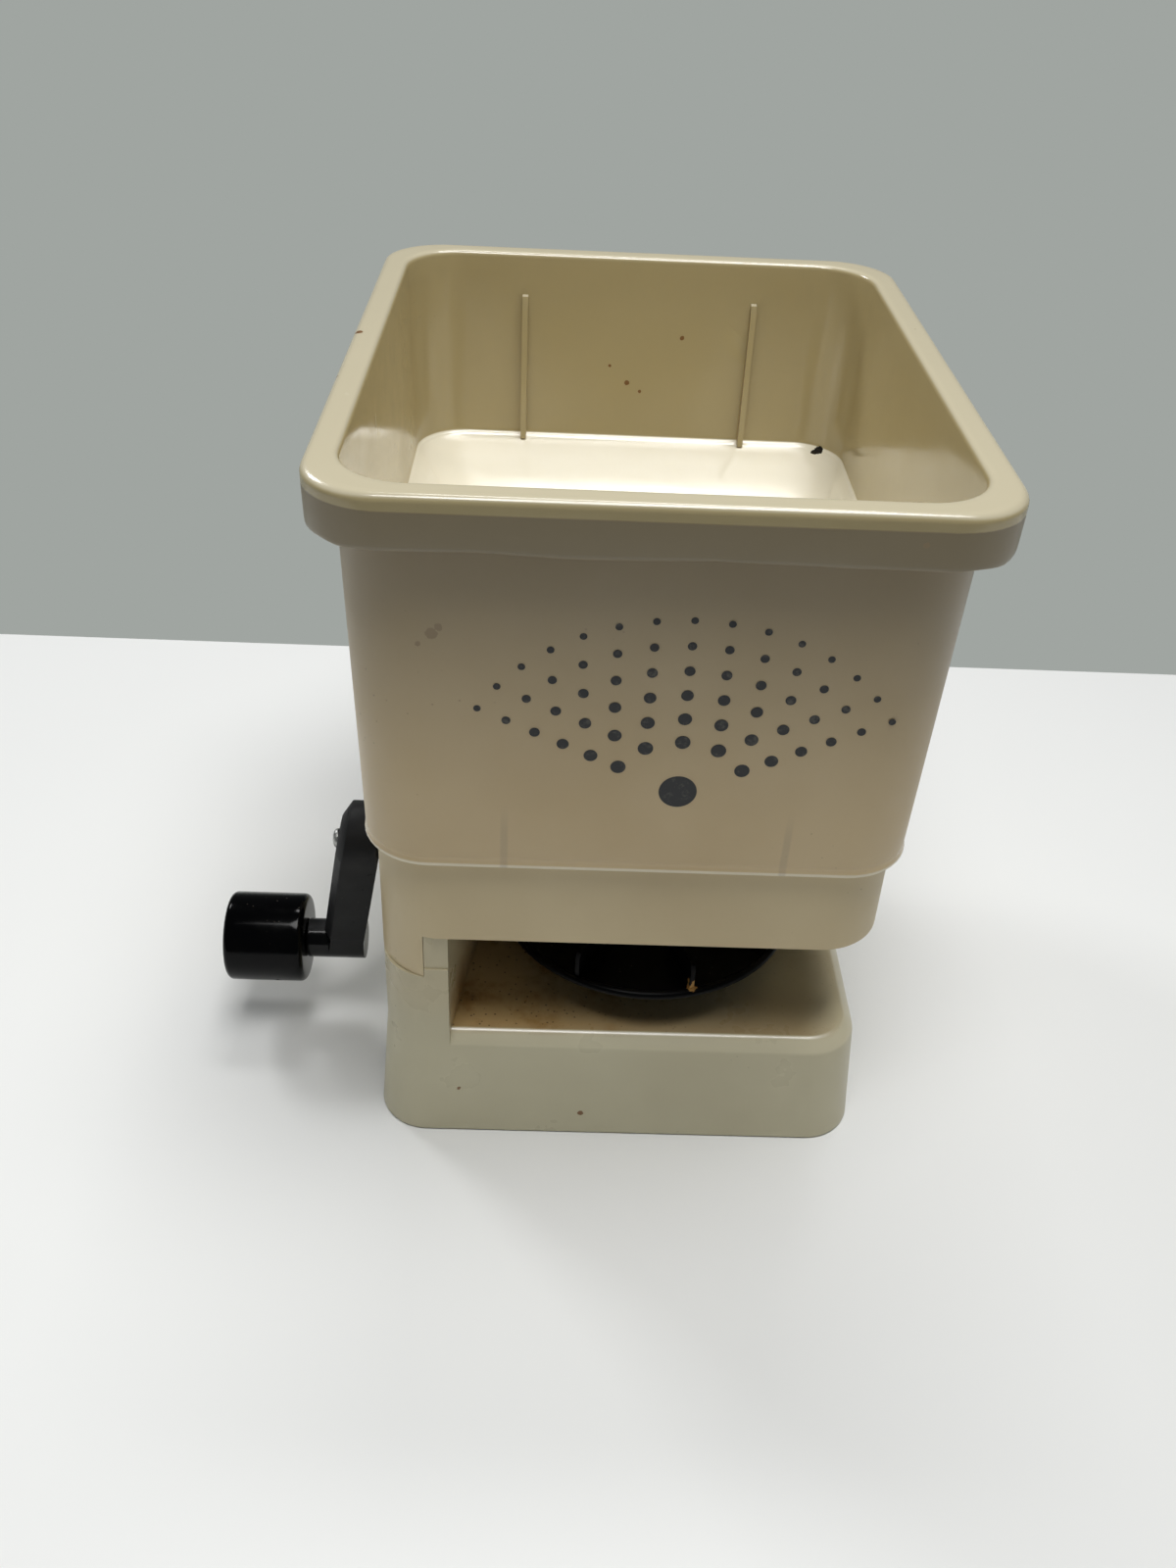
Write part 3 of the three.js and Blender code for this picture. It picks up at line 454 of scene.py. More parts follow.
def aged_plastic(name, main, deep, gloss, stain=0.0, inside=0.0, marks=(), pale=None):
    """Moulded plastic gone slightly yellow, with a few specks, stains and faint scuffs; on the hopper and
    the base it also carries painted light and shade.
    """
    n = Nodes(name)
    cloud = n.noise(14, 3, 0.6)
    colour = n.mix(n.band(cloud, 0.35, 0.7), main, deep)
    # pale is the painted highlight on upward faces; the hopper's other painted light and shade come with
    # it.
    if pale:
        colour = hopper_painted_light(n, colour, pale)
    # Dirt specks in patches, and a few larger ones.
    patch = n.band(n.noise(22, 2, 0.5), 0.58, 0.70)
    colour = n.mix(n.times(n.spots(300, 0.11), patch, 0.45), colour, SPECK_TONE)
    big = n.times(n.spots(48, 0.022), n.band(n.noise(9, 1, 0.5), 0.48, 0.56))
    colour = n.mix(n.times(big, 0.55), colour, BIG_SPECK_TONE)
    # Faint upright scuffs.
    scratch = n.band(n.noise(190, 2, 0.6, stretch=(1.0, 1.0, 0.06)), 0.68, 0.74)
    scratch = n.times(scratch, n.band(n.noise(16, 2, 0.5), 0.58, 0.70))
    colour = n.mix(n.times(scratch, 0.16), colour, SCRATCH_TONE)
    for place, radius, tone in marks:
        colour = n.mix(n.dab(place, radius), colour, tone)
    rough = n.band(n.noise(30, 4, 0.6), 0.3, 0.7, gloss, gloss + 0.12)
    if inside:
        rough = n.math("ADD", rough, n.band(n.up(), 0.002, 0.012, 0.0, inside - gloss))
        n.shader.inputs["Specular IOR Level"].default_value = 0.8
    # The base's stains come with its painted shade and painted ridge highlight.
    if stain:
        colour, ridge = base_stains_and_light(n, colour, stain)
        rough = n.math("SUBTRACT", rough, n.times(ridge, 0.15))
    rough = n.math("ADD", rough, n.times(scratch, 0.15))
    normal = n.bump(n.noise(900, 2, 0.5), 0.06, 0.00006)
    normal = n.bump(n.noise(36, 2, 0.5), 0.18, 0.0006, normal)
    n.shader.inputs["IOR"].default_value = 1.49
    return n.finish(colour, rough, normal)


def black_plastic(name, tone, gloss, grain=0.12, pale=14, shine=0.5, marks=(), polished=None):
    """Black moulding; below the height polished, in millimetres, it is rubbed darker and glossy."""
    n = Nodes(name)
    base = srgb(tone, tone, tone + 1)
    worn = srgb(tone + pale, tone + pale, tone + pale)
    colour = n.mix(n.band(n.noise(60, 4, 0.6), 0.45, 0.75), base, worn)
    dust = n.times(n.spots(420, 0.14), n.band(n.noise(40), 0.5, 0.6))
    colour = n.mix(n.times(dust, 0.35), colour, DUST_TONE)
    for place, radius, mark in marks:
        colour = n.mix(n.dab(place, radius), colour, mark)
    n.shader.inputs["Specular IOR Level"].default_value = shine
    scratch = n.band(n.noise(220, 2, 0.6, stretch=(1.0, 0.06, 1.0)), 0.68, 0.74)
    rough = n.band(n.noise(50, 4, 0.6), 0.3, 0.7, gloss, gloss + 0.14)
    rough = n.math("ADD", rough, n.times(scratch, 0.25))
    if polished:
        rubbed = n.band(n.axis("Z"), (polished + 0.5) * MM, (polished - 0.5) * MM)
        colour = n.mix(rubbed, colour, RUBBED_TONE)
        rough = n.math("SUBTRACT", rough, n.times(rubbed, gloss - 0.10))
    normal = n.bump(n.noise(1200, 2, 0.6), grain, 0.00008)
    normal = n.bump(scratch, 0.2, -0.00008, normal)
    return n.finish(colour, rough, normal)


def metal(name, tone, gloss, lines=(1.0, 1.0, 1.0)):
    n = Nodes(name)
    grain = n.noise(700, 3, 0.6, stretch=lines)
    colour = n.mix(n.band(grain, 0.3, 0.7), srgb(tone, tone, tone - 3),
                   srgb(tone + 24, tone + 24, tone + 20))
    rust = n.times(n.band(n.noise(240, 4, 0.7), 0.62, 0.72), 0.4)
    colour = n.mix(rust, colour, RUST_TONE)
    rough = n.band(grain, 0.2, 0.8, gloss, gloss + 0.2)
    n.shader.inputs["Metallic"].default_value = 1.0
    return n.finish(colour, rough, n.bump(grain, 0.15, 0.00005))


# Small marks: (place in millimetres, radius, tone).
HOPPER_MARKS = (
    ((71.0, 91.8, 164.1), 1.8, NEAR_BLACK_SPOT), ((69.6, 92.0, 162.8), 1.4, NEAR_BLACK_SPOT),
    ((-56.5, -99.6, 189.1), 1.6, SCUFF), ((-54.7, -99.6, 190.9), 1.1, SCUFF),
    ((-60, -99.4, 186.0), 0.8, SCUFF),
    ((-2.2, 98, 184.6), 1.0, DIRT), ((2.7, 98, 181.6), 0.7, DIRT), ((16.9, 98, 201.7), 0.8, DIRT),
    ((-8.8, 98, 190.7), 0.6, DIRT), ((60.5, -107, 221.5), 0.8, SCUFF), ((78, -84, 229), 1.2, DIRT),
    ((-86.4, 6.6, 229), 1.3, DIRT), ((-87.2, -30, 227.8), 0.9, DIRT), ((-80, -107, 222), 1.0, DIRT),
)
BASE_MARKS = (
    ((8.0, -97.2, 32.8), 1.1, DIRT), ((12.6, -97.2, 21.2), 0.8, DIRT),
    ((-52.1, -97.2, 18.7), 1.1, DIRT),
    ((-12.3, -97.2, 8.8), 1.0, DIRT), ((34.9, -97.2, 27.6), 0.7, srgb(240, 234, 214)),
    ((-31.5, -78.6, 41.7), 0.9, NEAR_BLACK_SPOT), ((-23.8, -81.9, 41.7), 0.8, DIRT),
    ((-50.8, -75.8, 41.7), 1.2, NEAR_BLACK_SPOT),
    ((-11.1, -83.1, 41.7), 0.8, DIRT),
)
FIN_DIRT = srgb(168, 128, 74)
FIN_MARKS = tuple(((20.7 + 0.3 * k, -88.0 + 0.8 * k, 58.5 + 2.6 * k), 1.7, FIN_DIRT)
                  for k in range(4))
# pale: painted highlight on the hopper's upward faces.
CREAM = aged_plastic("hopper_plastic", srgb(200, 177, 134), srgb(194, 170, 126), 0.34, inside=0.12,
                     pale=srgb(196, 187, 160), marks=HOPPER_MARKS)
TIER = aged_plastic("tier_plastic", srgb(207, 189, 150), srgb(200, 181, 142), 0.36)
GREY_CREAM = aged_plastic("base_plastic_worn", srgb(197, 190, 161), srgb(190, 182, 153), 0.26,
                          stain=0.85,
                          marks=BASE_MARKS)
BLACK = black_plastic("crank_plastic", 31, 0.5, shine=0.22, polished=SPINDLE_Z + 6.2)
GLOSS_BLACK = black_plastic("knob_plastic", 2, 0.07, 0.02, pale=3, shine=0.13)
DISC_BLACK = black_plastic("disc_plastic", 2, 0.34, 0.08, pale=4, shine=0.08, marks=FIN_MARKS)
NATURAL = aged_plastic("natural_plastic_worn", srgb(226, 222, 208), srgb(212, 206, 188), 0.4)
STEEL = metal("turned_steel", 150, 0.28, (0.1, 1.0, 1.0))
ZINC = metal("zinc_plate", 176, 0.32)


def ink():
    n = Nodes("print_ink")
    wear = n.band(n.noise(420, 4, 0.7), 0.3, 0.5)
    colour = n.mix(wear, srgb(70, 68, 62), srgb(22, 24, 27))
    return n.finish(colour, 0.45, n.bump(n.noise(900), 0.1, 0.00005))


# ---------------------------------------------------------------- hopper
def body_width(z):
    return BODY_LOW_W + (BODY_TOP_W - BODY_LOW_W) * (z - LIP_Z) / (SKIRT_Z - LIP_Z)


def hopper():
    n, s = 12, 12

    def ring(w, r, z, wave=0.0):
        points = shell(w, r, n=n, straight=s)
        out = []
        for x, y in points:
            dz = wave * noise.noise(Vector((x * 0.13, y * 0.13, 3.7)))
            out.append((x, y, z + dz))
        return out

    def funnel(t, grow, drop):
        """Ring on the funnel: t 0 at the floor, 1 at the ledge."""
        a = rounded(76 + grow, 70 + grow * 0.9, 10 + grow * 0.3, 8, AY, n=n, straight=s)
        b = rounded(154 + grow, 192 + grow, 17 + grow * 0.3, n=n, straight=s)
        z = FUNNEL_Z + (LEDGE_Z - FUNNEL_Z) * t - drop
        return [(p[0] + (q[0] - p[0]) * t, p[1] + (q[1] - p[1]) * t, z) for p, q in zip(a, b)]

    rings = [funnel(0.0, 0, 0), funnel(0.02, 0, 0)]
    rings += [funnel(t, 0, 0) for t in (0.1, 0.25, 0.4, 0.55, 0.7, 0.82, 0.9, 0.955)]
    rings += [ring(153.3, 16.8, 163.1), ring(154.3, 17.2, 163.75), ring(154.9, 17.5, 164.05),
              ring(155.6, 17.8, 164.15), ring(156.3, 18.1, 164.9), ring(156.6, 18.2, 166)]
    for z in (172, 180, 190, 200, 210, 220):
        rings.append(ring(body_width(z) - WALLS, 18.3, z))
    rings += [ring(159.0 + 2 * x, 18.4 + x, z) for x, z in
              [(1.8 + a, b) for a, b in arc(0, 227.2, 1.8, 180, 90, 5)]]
    rings += [ring(164.8, 20.2, RIM_TOP), ring(167.5, 19.9, RIM_TOP), ring(170, 19.6, RIM_TOP)]
    rings += [ring(171.8 + 2 * x, 19.6, z) for x, z in arc(0, 226.9, 2.1, 84, 0, 7)]
    rings += [ring(176, 19.7, 224), ring(175.9, 19.8, 220.5), ring(175.8, 19.8, 217)]
    # The skirt's lower edge is slightly uneven.
    rings += [ring(175.7, 19.8, 215.9, 0.5), ring(175.6, 19.8, 215.0, 1.0),
              ring(175.2, 19.6, 214.75, 1.0), ring(172.2, 18.8, 214.75, 1.0),
              ring(171.6, 18.4, 215.2, 0.7), ring(171.4, 18.3, 217)]
    # Channel under the rim, then down the outside of the body to its lip.
    rings += [ring(171.4, 18.3, 225.2), ring(170.6, 18.2, 226.2), ring(168.8, 18.4, 226.4),
              ring(166, 20, 226.4), ring(163.8, 20, 226.2), ring(162.9, 20, 225.2)]
    for z in (220, 212, 200, 185, 170, 155, 140, 128, 120, 116.6, 115.6):
        rings.append(ring(body_width(z), 20, z))
    rings += [ring(158.6, 20, 114.9), ring(158.95, 20.1, 114.3), ring(159.05, 20.1, 113.6),
              ring(158.7, 20, 113.15), ring(157.6, 19.6, LIP_Z),
              ring(155.6, 18.8, LIP_Z), ring(154.8, 18.4, 113.2), ring(154.5, 18.2, 113.8)]
    # Up inside the lip, and under the funnel.
    for z in (120, 130, 140, 150, 158):
        rings.append(ring(body_width(z) - WALLS, 18.1, z))
    rings += [ring(156.3, 18.0, 159.5)]
    rings += [funnel(t, 3.6, 2.2) for t in (0.93, 0.8, 0.6, 0.4, 0.2, 0.0)]
    obj = skin("hopper_shell", rings)
    cut(obj, block(OUT_X - 7, OUT_X + 7, OUT_Y - 4, OUT_Y + 4, 112, 121),
        rod_z(AX, AY, 112, 121, 5))
    bosses = []
    for x, y in HOPPER_SCREWS:
        bosses.append(rod_z(x, y, 112.1, 151 if y > 0 else 121.5, 4.5, 28))
    for side in (-1, 1):
        a = OUT_X + side * 12.1
        bosses.append(block(a - 0.7, a + 0.7, -41, -18.2, 111.4, 116.5))
        b = OUT_X + side * 10.6
        bosses.append(block(b - 1.5, b + 1.5, -41, -18.2, 111.4, 112.8))
    for x in GUSSET_X:
        bosses.append(block(x - 0.8, x + 0.8, -97.0, -89.2, 119.4, 138))
    join(obj, *bosses)
    for x, y in HOPPER_SCREWS:
        cut(obj, rod_z(x, y, 111, 125, 1.75, 20))
    rib = [(98.6, 163.2), (93.7, 163.2), (93.9, 170), (95.6, 210), (96.9, 214.5), (98.9, 215)]
    for x in RIB_X:
        join(obj, prism_x("rib", rib, x - 1.0, x + 1.0))
    piece(obj, "hopper_shell", ["hopper"], "frame", CREAM, bevel=0.3, angle=50)


hopper()


# ---------------------------------------------------------------- gear housing
def gear_housing():
    outer = loft("housing", *[(z, shell(w, r, n=16)) for z, w, r in
                              ((60, 153.1, 20), (TIER_TOP, 153.0, 20))])
    low = block(-WIDE, WIDE, -DEEP, 20, TIER_LOW, TIER_TOP)
    high = block(-WIDE, WIDE, 10, DEEP, 106.2, TIER_TOP)
    tab = block(-80, -62.25, -100, -68, 66.45, 84)
    tab = join(tab, block(-80, -68, -98, 18, 66.5, 84))
    region = join(low, high, tab)
    obj = overlap(outer, region)
    inner = loft("inner", (50, shell(148.6, 17.8, n=16)), (120, shell(148.6, 17.8, n=16)))
    hollow = block(-WIDE, WIDE, -DEEP, 17.8, 85, 125)
    hollow = join(hollow, block(-WIDE, WIDE, 10, DEEP, 108.4, 125),
                  block(-WIDE, WIDE, -DEEP, 19, 60, TIER_LOW))
    cut(obj, overlap(inner, hollow))
    join(obj, block(-12.8, 14.8, -61.3, -24.7, 83.4, 97.8),
         block(OUT_X - 8.6, OUT_X + 8.6, OUT_Y - 5.6, OUT_Y + 5.6, 72, 112.7),
         block(-3, 3, 48, 56, 107, 112.8),
         block(6.7, 8.1, 44, 84, 107, 116.5), block(-8.1, -6.7, 44, 84, 107, 116.5))
    for x, y in HOPPER_SCREWS:
        join(obj, rod_z(x, y, 107 if y > 0 else 83.5, 111.8, 4.5, 28))
    for x, y in BASE_SCREWS:
        join(obj, rod_z(x, y, 83.5, 97, 4.5, 28))
    cut(obj, block(-11, 13, -59.5, -26.5, 81, 96), rod_z(AX, AY, 95, 99, 3.5),
        block(OUT_X - 7, OUT_X + 7, OUT_Y - 4, OUT_Y + 4, 71, 114),
        rod_x(-80, -73, AY, CRANK_Z, 6), rod_x(-16.2, -10, AY, CRANK_Z, 5.4),
        block(-4.5, 4.5, 59, 84, 105, 110))
    for x, y in HOPPER_SCREWS:
        cut(obj, rod_z(x, y, 81, 113, 1.95, 20))
    for x, y in COVER_SCREWS:
        cut(obj, rod_z(x, y, 81, 90.5, 1.45, 20))
    for x, y in BASE_SCREWS:
        cut(obj, rod_z(x, y, 81, 95.5, 1.75, 20))
    for x, y in GRIP_TOP:
        cut(obj, rod_z(x, y, 105, 110, 1.75, 20))
    piece(obj, "gear_housing_shell", ["gear_housing"], "frame", TIER, bevel=0.45)


gear_housing()


# ---------------------------------------------------------------- base
def chamber(grow, z0, z1, n=48):
    """Solid over the disc chamber and its open front and right, grown outward by grow."""
    r = 56.8 + grow
    points = [(-55.3 - grow, -104), (-54.6 - grow, -91.3), (AX - r, -52.9)]
    for i in range(n + 1):
        a = math.radians(180 - 160 * i / n)
        points.append((AX + r * math.cos(a), AY + r * math.sin(a)))
    points.append((WIDE, points[-1][1] + 0.4 * grow))
    points.append((WIDE, -104))
    return prism("chamber", points[::-1], z0, z1)


def base():
    n = 16
    rings = [(0, rounded(156.9, 194.9, 15.6, n=n)), (0.5, rounded(157.5, 195.5, 16, n=n))]
    rings += [(z, rounded(157.5 - 5.5 * z / 38, 195.5 - 5.5 * z / 38, 16, n=n))
              for z in (12, 24, 35.9)]
    rings += [(36.9, rounded(151.9, 189.9, 16, n=n)), (37.8, rounded(151.0, 189.0, 15.7, n=n)),
              (38.9, rounded(148.7, 186.7, 15, n=n))]
    # The ridge: a 3 mm round between the chamfer and the flat top.
    for degrees in (45, 38, 31, 24, 17, 10, 4, 0):
        a = math.radians(degrees)
        half = 70.98 + 3 * math.sin(a)
        rings.append((38.02 + 3 * math.cos(a), shell(2 * half, half - 59.4, n=n)))
    obj = loft("base", *rings)
    # The block round the disc chamber; in front of the chamber the ridge stays clear of it.
    post = loft("post", (30, shell(152, 16, n=n)), (BLOCK_TOP, shell(152, 16, n=n)))
    post = overlap(post, block(-WIDE, WIDE, -DEEP, BLOCK_BACK, 25, BLOCK_TOP))
    cut(post, chamber(0, 25, 90))
    join(obj, post)
    plug = loft("plug", (40, shell(147.8, 17.4, n=n)), (95, shell(147.8, 17.4, n=n)))
    cut(obj, cut(block(-80, -62.1, -DEEP, 60, 66.3, 95), plug))
    cut(obj, block(-63.3, -50, -100, -94.45, 69.5, 95))
    cut(obj, chamber(0, SLOT_Z, 90))
    tub_in = loft("tub_in", (-1, shell(152.9, 13.7, n=n)), (38.6, shell(147.4, 13.7, n=n)))
    room = join(block(-WIDE, WIDE, -DEEP, 16.3, -2, 50), block(-WIDE, WIDE, 10, DEEP, -2, 21.6))
    cut(obj, overlap(tub_in, room))
    low = loft("low", (36, shell(147.4, 13.7, n=n)), (63.8, shell(147.4, 13.7, n=n)))
    low = overlap(low, block(-WIDE, WIDE, -DEEP, 16.3, 30, 70))
    high = loft("high", (63, shell(143.2, 15.4, n=n)), (80.2, shell(143.2, 15.4, n=n)))
    high = overlap(high, block(-WIDE, WIDE, -DEEP, 16.3, 60, 85))
    cut(obj, cut(join(low, high), chamber(2.2, 30, 95)))
    cut(obj, block(-100, 100, BLOCK_BACK, 120, 24, 60))
    for x, y in BASE_SCREWS:
        join(obj, rod_z(x, y, 58, 81, 5.4, 28))
    for x, y in PLATE_SCREWS:
        join(obj, rod_z(x, y, 6.2, 22 if y > 0 else 39.5, 4.4, 28))
    for x, y in BASE_SCREWS:
        cut(obj, rod_z(x, y, 57, 65, 3.6, 28), rod_z(x, y, 60, 83, 1.95, 20))
    for x, y in PLATE_SCREWS:
        cut(obj, rod_z(x, y, 5, 19, 1.45, 20))
    for x, y in GRIP_LOW:
        cut(obj, rod_z(x, y, 20, 25, 1.95, 20))
    cut(obj, block(-80, -47, AY - 7.4, AY + 7.4, 70.6, 95))
    piece(obj, "base_shell", ["base"], "frame", GREY_CREAM, bevel=0.5, angle=28,
          segments=3)


base()


def bottom_plate():
    obj = prism("plate", rounded(151.9, 189.9, 13, n=16), 0, 2.4)
    for x, y in PLATE_SCREWS:
        join(obj, rod_z(x, y, 0.5, 5.8, 5, 28))
    for x, y in PLATE_SCREWS:
        cut(obj, rod_z(x, y, -1, 2.9, 3.5, 28), rod_z(x, y, 0, 7, 1.8, 20))
    piece(obj, "bottom_plate_moulded", ["bottom_plate"], "frame", GREY_CREAM,
          bevel=0.25)


bottom_plate()


# ---------------------------------------------------------------- crank
def arm_outline(inset, n=28):
    big, small = 12.8 - inset, 6.7 - inset
    tilt = math.asin((big - small) / THROW)
    points = []
    for i in range(n + 1):
        a = -tilt + (math.pi + 2 * tilt) * i / n
        points.append((AY + big * math.cos(a), CRANK_Z + big * math.sin(a)))
    for i in range(n // 2 + 1):
        a = math.pi + tilt + (math.pi - 2 * tilt) * i / (n // 2)
        points.append((AY + small * math.cos(a), SPINDLE_Z + small * math.sin(a)))
    return points


def lean(obj):
    """Slopes the arm outward from its shaft."""
    for v in obj.data.vertices:
        v.co.x += ARM_SLOPE * (v.co.z - CRANK_Z * MM)
    return obj


def crank_arm():
    levels = [(-94.7, 4.9), (-94.6, 4.6), (-92.3, 0.25), (-91.9, 0), (-80.6, 0)]
    obj = lean(skin("arm", [[(x, y, z) for y, z in arm_outline(inset)] for x, inset in levels]))
    pocket = lean(block(-92, -75, AY - 4.2, AY + 4.2, SPINDLE_Z + 10, CRANK_Z - 10))
    cut(obj, pocket, block(-80.9, -70, -60, -25, 62, 95))
    spindle = turned("spindle", [(-129.6, 3.6), (-129.3, 4), (-107.5, 4), (-107.5, 6.5), (-107.3, 6.7),
                                 (-88, 6.7)], "x", (AY, SPINDLE_Z), 48)
    join(obj, spindle)
    cut(obj, block(-92.3, -76, AY - SHAFT_SQUARE, AY + SHAFT_SQUARE,
                   CRANK_Z - SHAFT_SQUARE, CRANK_Z + SHAFT_SQUARE),
        rod_x(-99, -90, AY, CRANK_Z, 1.9, 20), rod_x(-100, -94.3, AY, CRANK_Z, 3.9, 32),
        rod_x(-131, -117.5, AY, SPINDLE_Z, 1.4, 16))
    piece(obj, "crank_arm_moulded", ["crank_arm"], "crank", BLACK,
          bevel=0.3, angle=30)


crank_arm()


def knob():
    outer = [(-134.5, 12.3)]
    outer += [(-132.5 + x, 13.2 + r) for x, r in arc(0, 0, 2.0, 175, 95, 7)]
    outer += [(-130, 15.2), (-120, 15.2), (-112, 15.2)]
    outer += [(-109.8 + x, 13.2 + r) for x, r in arc(0, 0, 2.0, 85, 10, 7)]
    outer += [(-107.85, 12.0), (-107.8, 9.0)]
    obj = turned("knob", outer, "x", (AY, SPINDLE_Z), 72)
    cut(obj, rod_x(-130, -107, AY, SPINDLE_Z, 4.3, 40), rod_x(-136, -129.9, AY, SPINDLE_Z, 6.2, 48))
    piece(obj, "crank_knob_turned", ["crank_knob"], "knob", GLOSS_BLACK,
          bevel=0.25)


knob()


def screw(name, node, body, at, along, head, high, shank, length, bevel=0.12):
    """Pan-head screw with a cross recess; at is the bearing face, along points down the shank."""
    profile = [(-high, head * 0.45), (-high * 0.97, head * 0.6), (-high * 0.8, head * 0.82),
               (-high * 0.5, head * 0.96), (-high * 0.25, head), (0, head), (0, shank),
               (length - shank, shank), (length, shank * 0.3)]
    obj = turned("screw", [(z, r) for z, r in profile], "z", (0, 0), 32)
    arm, wide = head * 0.55, head * 0.13
    cut(obj, block(-arm, arm, -wide, wide, -high - 1, -high * 0.45),
        block(-wide, wide, -arm, arm, -high - 1, -high * 0.45))
    turn = Vector((0, 0, 1)).rotation_difference(Vector(along)).to_matrix().to_4x4()
    obj.data.transform(Matrix.Translation(Vector(at) * MM) @ turn)
    return piece(obj, name, [node], body, ZINC, bevel=bevel, angle=35, segments=1)


screw("crank_screw_cross", "crank_screw", "crank", (-94.6, AY, CRANK_Z), (1, 0, 0),
      3.25, 1.8, 1.6, 13.4)
screw("knob_screw_cross", "knob_screw", "crank", (-130.2, AY, SPINDLE_Z), (1, 0, 0),
      5.2, 2.2, 1.25, 11.7)
for i, (x, y) in enumerate(PLATE_SCREWS):
    screw(f"plate_screw_cross_{i + 1}", f"plate_screw_{i + 1}", "frame", (x, y, 2.6), (0, 0, 1),
          3.1, 2.2, 1.25, 14)
for i, (y, z) in enumerate(GRIP_SCREWS):
    screw(f"grip_screw_cross_{i + 1}", f"grip_screw_{i + 1}", "frame", (-11.8, y, z), (1, 0, 0),
          3.0, 1.8, 1.25, 20.8)
for i, (x, y) in enumerate(COVER_SCREWS):
    screw(f"cover_screw_cross_{i + 1}", f"cover_screw_{i + 1}", "frame", (x, y, 80.1), (0, 0, 1),
          2.6, 1.8, 1.25, 9)


# ---------------------------------------------------------------- impeller
def impeller():
    profile = [(50.95, 6.5), (51.0, 7.6), (51.5, 8), (55.6, 8), (55.6, 20), (55.6, 47.6)]
    profile += [(57.1 + z, 47.6 + r) for r, z in arc(0, 0, 1.4, -90, 80, 8)]
    profile += [(58.6, 47.2), (58.1, 46.6), (58.1, 24), (58.1, 10), (58.6, 8), (58.6, 4)]
    obj = turned("disc", profile, "z", (AX, AY), 96)
    outline = ((24.5, 57), (47.4, 57), (47.4, 65.6), (46.6, 67.6), (44.5, 68.5), (27, 68.5),
               (25.2, 67.8), (24.5, 66))
    for i in range(FINS):
        a = 2 * math.pi * (i + 0.35) / FINS
        fin = skin("fin", [[(r, t, z) for r, z in outline] for t in (0.75, -0.75)])
        fin.data.transform(Matrix.Translation((AX * MM, AY * MM, 0)) @ Matrix.Rotation(a, 4, "Z"))
        join(obj, fin)
    cut(obj, rod_z(AX, AY, 54.2, 60, 3.2, 32), rod_z(AX, AY, 49, 56, 1.8, 20))
    piece(obj, "impeller_disc", ["impeller"], "impeller_set", DISC_BLACK,
          bevel=0.25)


impeller()


def agitator():
    hub = [(120.6, 6), (121.2, 6.5), (129.5, 6.5), (131.2, 5.4), (131.5, 4.4)]
    obj = turned("hub", hub, "z", (AX, AY), 48)
    join(obj, block(AX - 32, AX + 32, AY - 2.2, AY + 2.2, 121, 124.5),
         block(AX - 31, AX - 28, AY - 2.2, AY + 2.2, 123, 134),
         block(AX + 20, AX + 23, AY - 2.2, AY + 2.2, 123, 131))
    cut(obj, rod_z(AX, AY, 119, 134, 3.2, 32))
    piece(obj, "agitator_arm", ["agitator"], "impeller_set", DISC_BLACK, bevel=0.7)


agitator()


# ---------------------------------------------------------------- grip and trigger
def grip(side, name, node):
    def ring(w, d, r):
        return rounded(w, d, r, 0, GRIP_Y, n=14)

    outer = loft("grip", *[(z, ring(*size)) for z, size in (
        (24.35, (37.2, 33.2, 11.6)), (24.9, (38, 34, 12)), (28, (37, 33, 12)), (36, (34.2, 31.2, 12)),
        (50, (33.2, 31.5, 12)), (64, (33, 32, 12)), (80, (33.3, 32, 12)), (92, (34, 32, 12)),
        (100, (35.4, 33.4, 12)), (105.85, (37, 35, 12)))])
    inner = loft("inner", (36, ring(29, 26, 9.5)), (64, ring(28, 27, 9.5)), (96, ring(29, 27, 9.5)))
    bosses = rod_x(side * 7.9, side * 16, PIVOT_Y, PIVOT_Z, 4.6, 32)
    join(bosses, *[rod_x(0, side * 16, y, z, 4.4, 32) for y, z in GRIP_SCREWS])
    limit = outer.copy()
    limit.data = outer.data.copy()
    bpy.context.scene.collection.objects.link(limit)
    obj = cut(outer, inner)
    join(obj, overlap(bosses, limit))
    cut(obj, block(-7, 7, 55, 84, 39, 98.5), block(-4.6, 4.6, 59, 84, 98, 110))
    half = block(0.15, 30, 50, 110, 20, 120) if side > 0 else block(-30, -0.15, 50, 110, 20, 120)
    overlap(obj, half)
    # Shallow finger grooves across the back.
    for z in (42, 52, 62, 72, 82):
        cut(obj, rod_x(-30, 30, 95.6, z, 2.2, 24))
    cut(obj, rod_x(-13.4, 13.4, PIVOT_Y, PIVOT_Z, 2.15, 24))
    for y, z in GRIP_SCREWS:
        if side < 0:
            cut(obj, rod_x(-20, -11.5, y, z, 3.6, 32), rod_x(-14, 1, y, z, 1.7, 20))
        else:
            cut(obj, rod_x(-1, 10, y, z, 1.45, 20))
    for x, y in GRIP_LOW:
        cut(obj, rod_z(x, y, 20, 34, 1.75, 20))
    for x, y in GRIP_TOP:
        cut(obj, rod_z(x, y, 96.5, 108, 1.75, 20))
    piece(obj, name, [node], "frame", BLACK, bevel=0.4)


grip(-1, "grip_shell_left", "grip_left")
grip(1, "grip_shell_right", "grip_right")


